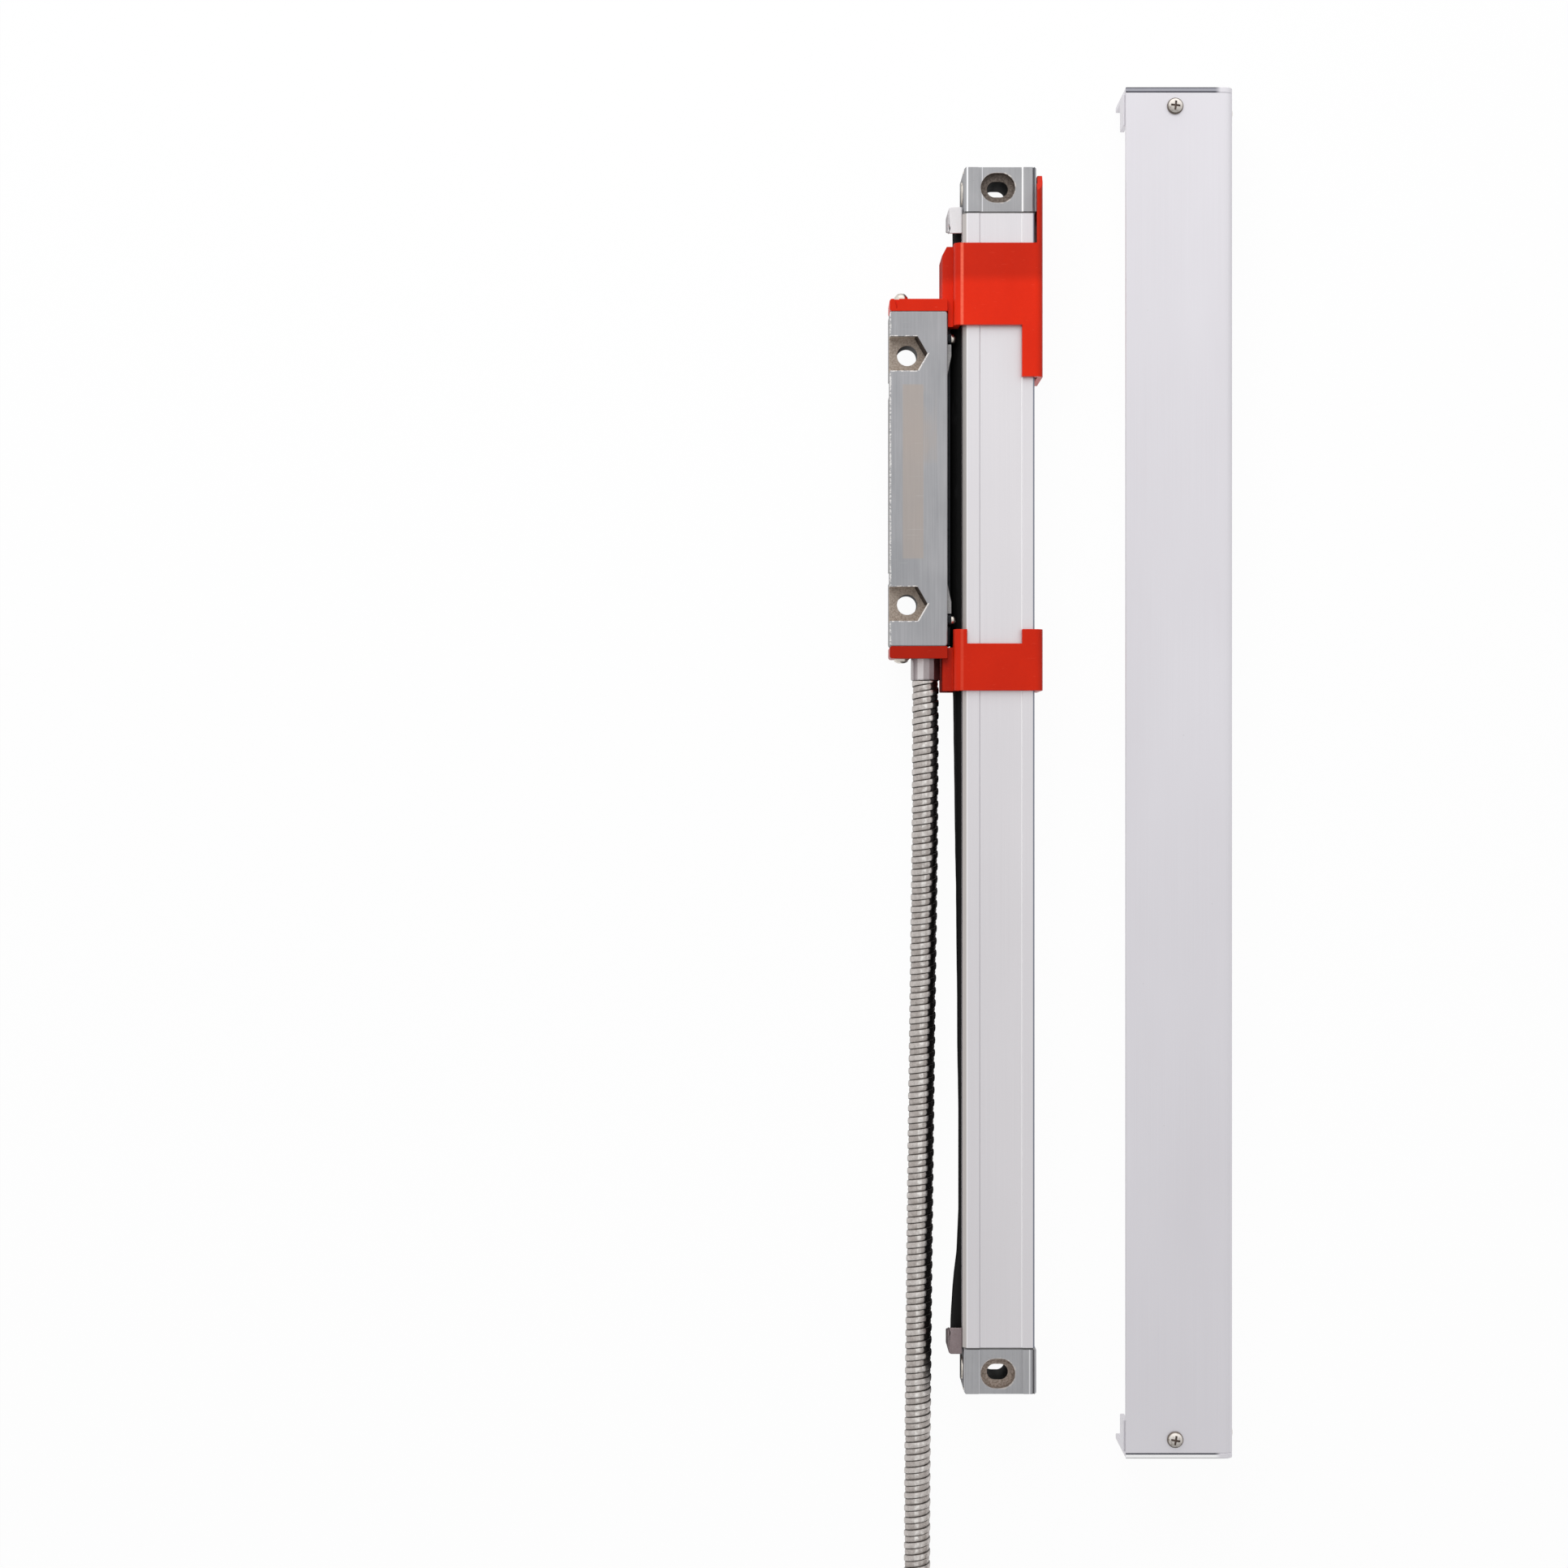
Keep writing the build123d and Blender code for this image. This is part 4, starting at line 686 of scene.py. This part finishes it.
def merged(node, whole=True, cut=False):
    """A CAD node's shape: triangles joined, flat faces made whole, and those cut again if asked."""
    shape = bmesh.new()
    shape.from_mesh(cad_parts[node].data)
    bmesh.ops.remove_doubles(shape, verts=shape.verts, dist=weld_distance)
    if whole:
        bmesh.ops.dissolve_limit(shape, angle_limit=math.radians(0.3), verts=shape.verts, edges=shape.edges)
    if cut:
        many_sided = [face for face in shape.faces if len(face.verts) > 4]
        bmesh.ops.triangulate(shape, faces=many_sided, ngon_method="EAR_CLIP")
    shape.verts.index_update()
    points = [v.co.copy() for v in shape.verts]
    faces = [[v.index for v in face.verts] for face in shape.faces]
    shape.free()
    return points, faces


def eased(node, slot, body, ease, look=None, cut=False):
    """The CAD piece with its sharp edges rounded by ease mm, in its finish."""
    sharp_over = 32
    points, faces = merged(node, whole=ease > 0, cut=cut)
    piece = mesh_piece(f"{node}_shown", points, faces, finish[look or slot])
    if ease:
        piece.data.shade_smooth()
        limit = math.radians(sharp_over)
        piece = rounded(piece, ease, limit_method="ANGLE", angle_limit=limit, harden_normals=True)
    else:
        smooth(piece, sharp_over)
    return place_on(piece, body, slot, node)


def dressed(node, slot):
    """A CAD node that keeps its own shape, in its finish."""
    for material_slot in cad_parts[node].material_slots:
        material_slot.material = finish[slot]


# The cable's route, in millimetres: gland, table, coil, plug
cable_radius = 3.95
diameter = 2 * cable_radius
coil_x, coil_y = 32.3, -298.0
coil_inner, coil_middle, coil_outer = 39.5, 47.4, 55.3
plug_x, plug_y, plug_z = 112.55, -295.0, 7.8
gland_end = (-20.95, 29.55, 14.5)
run_points = [
    gland_end, (-20.9, -6.0, 13.4), (-21.2, -52.0, 6.4), (-21.8, -104.0, 4.1), (-22.9, -200.0, 4.0),
    (-23.0, -278.0, 4.0),
]
tail_points = [
    (52.3, -353.3, 19.75), (87.55, -353.3, 18.4), (plug_x, -328.3, 9.0), (plug_x, plug_y, plug_z),
]

# The coil's turns in the order that the cable lies in them, as radius and layer
coil_cells = [
    (coil_outer, 0), (coil_middle, 0), (coil_inner, 0), (coil_inner, 1), (coil_inner, 2), (coil_middle, 2),
    (coil_middle, 1), (coil_outer, 1), (coil_outer, 2),
]
coil_start, coil_turns, coil_pace = 180.0, 8.25, 20.0
coil_spread = 1.008

# Degrees at which the cable passes on to its next turn, over step_half on each side
step_half = 20.0
steps_at = [490.0]
for early in (16.0, 0.0, 16.0, 16.0, 16.0, 16.0, 16.0):
    steps_at.append(steps_at[-1] + 360.0 - early)


def coil_points():
    """The coil's turns, 20 degrees between points: round the bottom layer inwards, then up and out."""
    points = []
    sweep = coil_turns * 360.0
    count = round(sweep / coil_pace)
    for index in range(1, count):
        turned = coil_start + sweep * index / count
        radius, layer = coil_cells[0]
        for step, cell in zip(steps_at, coil_cells[1:]):
            share = min(max((turned - step + step_half) / (2 * step_half), 0.0), 1.0)
            share = share * share * (3 - 2 * share)
            radius += (cell[0] - radius) * share
            layer += (cell[1] - layer) * share
        radius *= coil_spread
        angle = math.radians(turned)
        x = coil_x + radius * math.cos(angle)
        y = coil_y + radius * math.sin(angle)
        points.append((x, y, cable_radius + layer * diameter))
    return points


def route_through(points):
    """The smooth line along the given points, as its many places in metres."""
    curve = bpy.data.curves.new("route", "CURVE")
    curve.dimensions = "3D"
    curve.resolution_u = 10
    spline = curve.splines.new("NURBS")
    spline.points.add(len(points) - 1)
    for control, point in zip(spline.points, points):
        control.co = (*(Vector(point) * MM), 1)
    spline.order_u = 3
    spline.use_endpoint_u = True
    line = bpy.data.objects.new("route", curve)
    bpy.context.scene.collection.objects.link(line)
    places = [v.co.copy() for v in bpy.data.meshes.new_from_object(line).vertices]
    bpy.data.objects.remove(line)
    return places


route_line = route_through(run_points + coil_points() + tail_points)

# The armour: one tube whose rings are sheared so that its steps wind round it. Its profile is given as
# shares of the lead and radii.
armour_lead = 3.74
valley_radius, crest_height = 3.58, 0.4
armour_profile = [(0.00, 3.58), (0.05, 3.90), (0.26, 3.98), (0.48, 3.90), (0.53, 3.58), (0.76, 3.72)]
armour_sides = 18


def carried_normals(tangents):
    """A direction across the line at each of its places, turning as little as it can."""
    normals = [np.array((0.0, 0.0, 1.0))]
    for tangent in tangents:
        side = normals[-1] - tangent * np.dot(normals[-1], tangent)
        normals.append(side / np.linalg.norm(side))
    return np.array(normals[1:])


def armour_tube(line):
    """The cable along the line. Its attributes say how high a point lies and where in a turn a corner is."""
    line = np.array([tuple(p) for p in line])
    keep = np.concatenate([[True], np.linalg.norm(np.diff(line, axis=0), axis=1) > 1e-6])
    line = line[keep]
    runs = np.linalg.norm(np.diff(line, axis=0), axis=1)
    distance = np.concatenate([[0], np.cumsum(runs)]) / MM
    length = distance[-1]
    tangents = np.gradient(line, distance, axis=0)
    tangents /= np.linalg.norm(tangents, axis=1)[:, None]
    normals = carried_normals(tangents)

    def along(values, at):
        return np.array([np.interp(at, distance, values[:, k]) for k in range(3)])

    points, crest = [], []
    turns = int(length / armour_lead) + 2
    rings = []
    for turn in range(-1, turns):
        rings += [((turn + share) * armour_lead, radius) for share, radius in armour_profile]
    for start, radius in rings:
        for j in range(armour_sides):
            at = min(max(start + armour_lead * j / armour_sides, 0.0), length)
            angle = 2 * math.pi * (j / armour_sides + 0.25)
            normal = along(normals, at)
            across = np.cross(along(tangents, at), normal)
            out = normal * math.cos(angle) + across * math.sin(angle)
            points.append(along(line, at) + out * radius * MM)
            crest.append((radius - valley_radius) / crest_height)
    per_turn = len(armour_profile)
    shares = [share for share, radius in armour_profile] + [1.0]
    faces, phases = [], []
    for i in range(len(rings) - per_turn - 1):
        low, high = shares[i % per_turn], shares[i % per_turn + 1]
        for j in range(armour_sides):
            a = i * armour_sides + j
            b = a + 1 if j < armour_sides - 1 else (i + per_turn) * armour_sides
            faces.append((a, b, b + armour_sides, a + armour_sides))
            phases += [low, low, high, high]
    piece = mesh_piece("armoured_cable", points, faces, finish["cable_armour"])
    for name, values, domain in (("crest", crest, "POINT"), ("phase", phases, "CORNER")):
        piece.data.attributes.new(name, "FLOAT", domain).data.foreach_set("value", values)
    shape = bmesh.new()
    shape.from_mesh(piece.data)
    bmesh.ops.delete(shape, geom=[v for v in shape.verts if not v.link_faces], context="VERTS")
    bmesh.ops.remove_doubles(shape, verts=shape.verts, dist=weld_distance)
    bmesh.ops.dissolve_degenerate(shape, edges=shape.edges, dist=1e-6)
    bmesh.ops.holes_fill(shape, edges=[e for e in shape.edges if e.is_boundary], sides=0)
    bmesh.ops.recalc_face_normals(shape, faces=shape.faces)
    shape.to_mesh(piece.data)
    shape.free()
    smooth(piece, 50)
    return piece


cable = armour_tube(route_line)

# Lips: extruded rubber that bulges between the clamps and lies closer along the lower half
lip_reach_at = [
    (-170, 2.9), (-160, 2.9), (-152, 2.4), (-146, 1.9), (-140, 1.1), (-126, 0.55), (-100, 0.6), (-60, 1.0),
    (-20, 1.5), (24, 2.1), (33, 2.5), (39, 3.05), (134, 3.05), (139, 2.3), (170, 2.3),
]
lip_line_z = 12.0
lip_half_length = 166.5
lip_stations = 260


def lip_section(reach):
    """One lip's outline, as how far out from the body and how far from the line where the lips meet."""
    root = [(-2.0, 4.0), (-2.0, 5.3), (-0.8, 5.3), (-0.8, 4.0), (0.02, 3.98)]
    back = [(0.35 * reach, 3.7), (0.75 * reach, 3.0), (reach, 1.9), (reach, 1.0)]
    tip = [(0.93 * reach - 0.05, 0.66), (0.8 * reach - 0.3, 0.66)]
    inside = [(0.7 * reach - 0.45, 1.6), (0.2 * reach - 0.5, 2.7), (-0.6, 3.2)]
    return root + back + tip + inside


def lip_piece(name, side, node):
    """One of the two lips, a little uneven along its length."""
    places, reaches = zip(*lip_reach_at)
    sections = []
    for y in np.linspace(-lip_half_length, lip_half_length, lip_stations):
        reach = float(np.interp(y, places, reaches))
        reach += 0.12 * noise.noise((y * 0.045, 3.1 * side, 0.0))
        reach += 0.04 * noise.noise((y * 0.21, side, 5.0))
        outline = lip_section(reach)
        places_here = [(body_left_x - out, y, lip_line_z + side * up) for out, up in outline]
        sections.append([Vector(place) * MM for place in places_here])
    count = len(sections[0])
    points = [p for section in sections for p in section]
    faces = []
    for i in range(len(sections) - 1):
        for j in range(count):
            a, b = i * count + j, i * count + (j + 1) % count
            faces.append((a, b, b + count, a + count))
    last = (len(sections) - 1) * count
    faces += [tuple(range(count)), tuple(range(last, last + count))]
    piece = mesh_piece(name, points, faces, finish["black_rubber"])
    shape = bmesh.new()
    shape.from_mesh(piece.data)
    bmesh.ops.recalc_face_normals(shape, faces=shape.faces)
    shape.to_mesh(piece.data)
    shape.free()
    smooth(piece, 50)
    return place_on(piece, "scale_body", "black_rubber", node)


lip_piece("front_lip_rubber", 1, "front_sealing_lip")
lip_piece("rear_lip_rubber", -1, "rear_sealing_lip")


# Screws: one tree puts a pan-head screw with a cross recess on each of the points it is given
screw_sizes = (
    "Head Radius", "Head Height", "Shank Radius", "Shank Length",
    "Recess Reach", "Recess Width", "Recess Depth",
)


def screw_tree():
    tree = bpy.data.node_groups.new("pan_head_screws", "GeometryNodeTree")
    g = Graph(tree)
    wanted = {"Places": "Geometry", **{name: "Float" for name in screw_sizes}}
    wanted.update({"Tilt": "Vector", "Seed": "Int", "Finish": "Material"})
    for name, kind in wanted.items():
        tree.interface.new_socket(name, in_out="INPUT", socket_type=f"NodeSocket{kind}")
    tree.interface.new_socket("Screws", in_out="OUTPUT", socket_type="NodeSocketGeometry")
    group = g.node("NodeGroupInput").socket.node
    given = {name: Channel(g, group.outputs[name]) for name in wanted}
    height, radius = given["Head Height"], given["Head Radius"]

    # The head: a cylinder drawn in and domed towards its top
    head_sizes = {"Vertices": 32, "Side Segments": 5, "Fill Segments": 6, "Radius": radius, "Depth": height}
    head = g.node("GeometryNodeMeshCylinder", head_sizes, fill_type="NGON")
    x, y, z = g.node("GeometryNodeInputPosition").parts()
    up = z / height + 0.5
    out = (x**2 + y**2) ** 0.5 / radius
    drawn_in = 1 - 0.2 * up**3.0
    domed = up * height * (1 - 0.3 * up * out**3.0)
    shaped = g.node("ShaderNodeCombineXYZ", {0: x * drawn_in, 1: y * drawn_in, 2: domed})
    head = g.node("GeometryNodeSetPosition", {"Geometry": head, "Position": shaped})

    # The cross recess: two bars sunk into the head
    bars = []
    for index in range(2):
        bar_sizes = {index: given["Recess Reach"] * 2, 1 - index: given["Recess Width"]}
        size = g.node("ShaderNodeCombineXYZ", {**bar_sizes, 2: given["Recess Depth"] * 2})
        bar = g.node("GeometryNodeMeshCube", {"Size": size})
        top = g.node("ShaderNodeCombineXYZ", {2: height})
        bars.append(g.node("GeometryNodeTransform", {"Geometry": bar, "Translation": top}))
    head = g.node("GeometryNodeMeshBoolean", {0: head, 1: bars}, operation="DIFFERENCE", solver="EXACT")

    # The shank, which starts just inside the head
    shank_sizes = {"Vertices": 16, "Radius": given["Shank Radius"], "Depth": given["Shank Length"]}
    shank = g.node("GeometryNodeMeshCylinder", shank_sizes)
    down = g.node("ShaderNodeCombineXYZ", {2: given["Shank Length"] * -0.5 + 0.00001})
    shank = g.node("GeometryNodeTransform", {"Geometry": shank, "Translation": down})
    whole = g.node("GeometryNodeJoinGeometry", {0: [head, shank]})

    # One on each point, tilted, and turned by chance about its axis
    spin_inputs = {2: 0.0, 3: 6.283, "Seed": given["Seed"]}
    spin = g.node("FunctionNodeRandomValue", spin_inputs, output=1, data_type="FLOAT")
    copies = g.node("GeometryNodeInstanceOnPoints", {"Points": given["Places"], "Instance": whole})
    tilt = g.node("FunctionNodeEulerToRotation", {0: given["Tilt"]})
    copies = g.node("GeometryNodeRotateInstances", {"Instances": copies, "Rotation": tilt})
    turned = g.node("FunctionNodeEulerToRotation", {0: g.node("ShaderNodeCombineXYZ", {2: spin})})
    turn_inputs = {"Instances": copies, "Rotation": turned, "Local Space": True}
    copies = g.node("GeometryNodeRotateInstances", turn_inputs)
    solid = g.node("GeometryNodeRealizeInstances", {"Geometry": copies})
    solid = g.node("GeometryNodeSetMaterial", {"Geometry": solid, "Material": given["Finish"]})
    g.node("NodeGroupOutput", {0: solid}, output=None)
    return tree


screws = screw_tree()
screw_items = [item for item in screws.interface.items_tree if item.in_out == "INPUT"]
screw_inputs = {item.name: item.identifier for item in screw_items}


def screw_set(node, body, places, tilt, head, shank, recess, seed, look="nickel_screws"):
    """Screws at the given places, with head radius and height, shank radius and length, and recess reach,
    width and depth in millimetres, instead of the CAD node's plain ones."""
    piece = mesh_piece(f"{node}_shown", [Vector(p) * MM for p in places], [])
    modifier = piece.modifiers.new("screws", "NODES")
    modifier.node_group = screws
    modifier[screw_inputs["Finish"]] = finish[look]
    modifier[screw_inputs["Tilt"]] = [math.radians(a) for a in tilt]
    modifier[screw_inputs["Seed"]] = seed
    for name, size in zip(screw_sizes, (*head, *shank, *recess)):
        modifier[screw_inputs[name]] = size * MM
    piece = applied(piece)
    smooth(piece, 35)
    return place_on(piece, body, "nickel_screws", node)


# Places of the screws, in millimetres
end_face_y = 178.5
end_screw_places = ((-8.5, 19.1), (8.6, 19.3), (-8.3, 5.0), (7.5, 4.5))
clamp_screw_place = (-13.2, 162.5, 18.25)
bracket_screw_x, bracket_screw_z = -28.2, 14.8
bracket_face_from_head = 52.8
arm_right_x = -13.6
arm_screw_from_head, arm_screw_z = 41.4, 18.4
head_cover_screw_xs = (-23.3 - 6.1, -23.3 + 6.1)
head_cover_screw_ys = (head_y - 29.1, head_y + 29.1)
head_cover_screw_z = 8.6
cover_side_screw_z = 15.6

for name, side in (("top", 1), ("bottom", -1)):
    screw_set(
        f"end_screws_{name}", "scale_body", [(x, side * end_face_y, z) for x, z in end_screw_places],
        (-90 * side, 0, 0), head=(1.65, 1.3), shank=(0.85, 14.8), recess=(0.85, 0.34, 0.6), seed=3 + side,
    )
    x, y, z = clamp_screw_place
    screw_set(
        f"seal_clamp_screw_{name}", "scale_body", [(x, side * y, z)],
        (0, -90, 0), head=(1.2, 0.8), shank=(0.75, 5.3), recess=(0.6, 0.28, 0.45), seed=7 + side,
    )
    head_height = 2.6 if side > 0 else 1.2
    screw_set(
        f"bracket_screw_{name}", "reading_head",
        [(bracket_screw_x, head_y + side * bracket_face_from_head, bracket_screw_z)],
        (-90 * side, 0, 0), head=(2.1, head_height), shank=(1.2, 8.8), recess=(1.15, 0.5, 0.8),
        seed=9 + side,
    )
screw_set(
    "arm_screws", "reading_head",
    [(arm_right_x, head_y + side * arm_screw_from_head, arm_screw_z) for side in (1, -1)],
    (0, 90, 0), head=(1.35, 1.3), shank=(0.85, 4.8), recess=(0.8, 0.36, 0.6), seed=4,
)
screw_set(
    "head_cover_screws", "reading_head",
    [(x, y, head_cover_screw_z) for x in head_cover_screw_xs for y in head_cover_screw_ys],
    (180, 0, 0), head=(1.05, 0.55), shank=(0.7, 3.8), recess=(0.55, 0.26, 0.35), seed=5,
)
cover_screw_ys = [cover_middle_y + side * cover_screw_y for side in (1, -1)]
screw_set(
    "cover_front_screws", "cover", [(cover_screw_x, y, cover_front_z) for y in cover_screw_ys],
    (0, 0, 0), head=(2.4, 1.6), shank=(1.15, 4.8), recess=(1.35, 0.6, 0.9), seed=2, look="cover_screws",
)
screw_set(
    "cover_side_screws", "cover", [(cover_right_x, y, cover_side_screw_z) for y in cover_screw_ys],
    (0, 90, 0), head=(2.2, 1.3), shank=(1.15, 4.3), recess=(1.2, 0.55, 0.8), seed=6,
)

# The arm's base plate runs on to the head's ends
arm_end_xs = (-14.85, arm_right_x)
arm_end_ys = ((39.7, 45.7), (131.6, 136.6))
arm_end_zs = (9.0, 16.2)
corners, faces = [], []
for y_range in arm_end_ys:
    first = len(corners)
    corners += [Vector((x, y, z)) * MM for x in arm_end_xs for y in y_range for z in arm_end_zs]
    for face in ((0, 1, 3, 2), (4, 6, 7, 5), (0, 4, 5, 1), (2, 3, 7, 6), (0, 2, 6, 4), (1, 5, 7, 3)):
        faces.append(tuple(first + i for i in face))
plate = mesh_piece("arm_base_ends", corners, faces, finish["black_steel"])
place_on(rounded(plate, 0.3), "reading_head", "black_steel")

# CAD pieces with their edges eased: node, slot, body, ease in millimetres, then finish and cut where needed
for node, slot, body, ease, *look in [
    ("housing_extrusion", "anodised_aluminium", "scale_body", 0.14, "anodised_aluminium", True),
    ("seal_clamp_top", "rough_casting", "scale_body", 0.3, "rough_casting"),
    ("seal_clamp_bottom", "rough_casting", "scale_body", 0.3, "stained_casting"),
    ("head_block", "cast_zinc", "reading_head", 0.14),
    ("head_cover", "black_steel", "reading_head", 0.12),
    ("carriage_arm", "black_steel", "reading_head", 0.1),
    ("bracket_top", "orange_plastic", "reading_head", 0.1),
    ("bracket_bottom", "orange_plastic", "reading_head", 0.15),
    ("cable_gland", "gland_metal", "reading_head", 0.2),
    ("plug_boot", "plug_plastic", "reading_head", 0.3),
    ("plug_hood", "plug_plastic", "reading_head", 0.35),
    ("plug_shell", "plug_metal", "reading_head", 0.12),
    ("plug_insert", "plug_insulator", "reading_head", 0.0),
    ("coil_tie", "black_strap", "reading_head", 0.3),
    ("cover_extrusion", "cover_aluminium", "cover", 0.12),
]:
    eased(node, slot, body, ease, *look)
for side in ("left", "right"):
    eased(f"plug_thumbscrew_{side}", "nickel_screws", f"thumbscrew_{side}", 0.15)
for end in ("top", "bottom"):
    eased(f"end_block_{end}", "cast_zinc", "scale_body", 0.0, "end_block")
    eased(f"cover_cap_{end}", "cover_aluminium", "cover", 0.2, "folded_cap")
    eased(f"air_plug_{end}", "nickel_screws", "scale_body", 0.15)
    eased(f"end_gasket_{end}", "black_rubber", "scale_body", 0.0, "gasket")

# Pieces inside the body and the head
for slot, *nodes in [
    ("optical_glass", "glass_scale", "index_grating"),
    ("black_rubber", "glass_seat_cord"),
    ("circuit_board", "head_board", "led_board", "sensor_board"),
    ("carriage_plastic", "carriage_frame"),
    ("nickel_screws", "bearing_pins"),
    ("spring_steel", "preload_spring"),
    ("bearing_steel", "face_bearing_1", "face_bearing_2", "face_bearing_3"),
    ("bearing_steel", "edge_bearing_1", "edge_bearing_2"),
]:
    for node in nodes:
        dressed(node, slot)

place_on(cable, "reading_head", "cable_armour", "cable_run", "cable_coil", "cable_tail")

# Stage: a pale floor that keeps the shadow, darker as painted shade where metal mirrors the strip under the
# body and cable
floor_material = bpy.data.materials.new("pale_floor")
floor_material.use_nodes = True
g = Graph(floor_material.node_tree)
g.tree.nodes.clear()
mirrored = g.ray("Glossy") + g.ray("Transmission")
across, along, _ = g.node("ShaderNodeTexCoord", output="Object").parts()
dark_x, dark_y = (-0.024, -0.002), (-0.176, 0.17)
shaded = across.within(*dark_x, 0.006) * along.within(*dark_y, 0.02) * mirrored
glow = g.mix((1.0, 1.0, 1.0), (0.02, 0.02, 0.022), shaded)
white = g.node("ShaderNodeEmission", {"Color": glow, "Strength": 1.0})
matt = g.node("ShaderNodeBsdfDiffuse", {"Color": (0.92, 0.92, 0.92)})
blend = g.node("ShaderNodeMixShader", {0: g.ray("Camera") * 0.96 + mirrored * 0.85, 1: matt, 2: white})
g.node("ShaderNodeOutputMaterial", {0: blend}, output=None)
reach, floor_z = 6.0, -0.0004
corners = [(x, y, floor_z) for x, y in ((-reach, -reach), (reach, -reach), (reach, reach), (-reach, reach))]
floor = mesh_piece("floor", corners, [(0, 1, 2, 3)], floor_material)

# World: white for the camera, even light for matt surfaces, and a sky that brightens to the north for metal
world = bpy.data.worlds.new("studio")
bpy.context.scene.world = world
world.use_nodes = True
g = Graph(world.node_tree)
g.tree.nodes.clear()
_, north, up = g.node("ShaderNodeTexCoord", output="Generated").parts()
level = 0.93 + north.at_least(0.0) * 0.85 + north.at_most(0.0) * 0.45
open_sky = g.mix((0.2, 0.2, 0.21), g.scaled((1.0, 1.0, 1.0), level), (up + 0.35).over(0.0, 0.5))
ambient = g.mix((0.42, 0.42, 0.43), open_sky, g.ray("Glossy"))
ambient = g.mix(ambient, (1.0, 1.0, 1.0), g.ray("Camera"))
surround = g.node("ShaderNodeBackground", {"Color": ambient, "Strength": 1.0})
g.node("ShaderNodeOutputWorld", {0: surround}, output=None)

# One soft lamp over the upper end, which metal doesn't mirror
lamp_place, lamp_aim = Vector((-0.15, 0.5, 0.5)), Vector((0.0, 0.05, 0.0))
lamp_data = bpy.data.lights.new("upper_panel", "AREA")
lamp_data.shape = "SQUARE"
lamp_data.size = 0.5
lamp_data.energy = 3.4
lamp = bpy.data.objects.new("upper_panel", lamp_data)
lamp.location = lamp_place
lamp.rotation_mode = "QUATERNION"
lamp.rotation_quaternion = (lamp_aim - lamp_place).to_track_quat("-Z", "Y")
lamp.visible_glossy = False
bpy.context.scene.collection.objects.link(lamp)
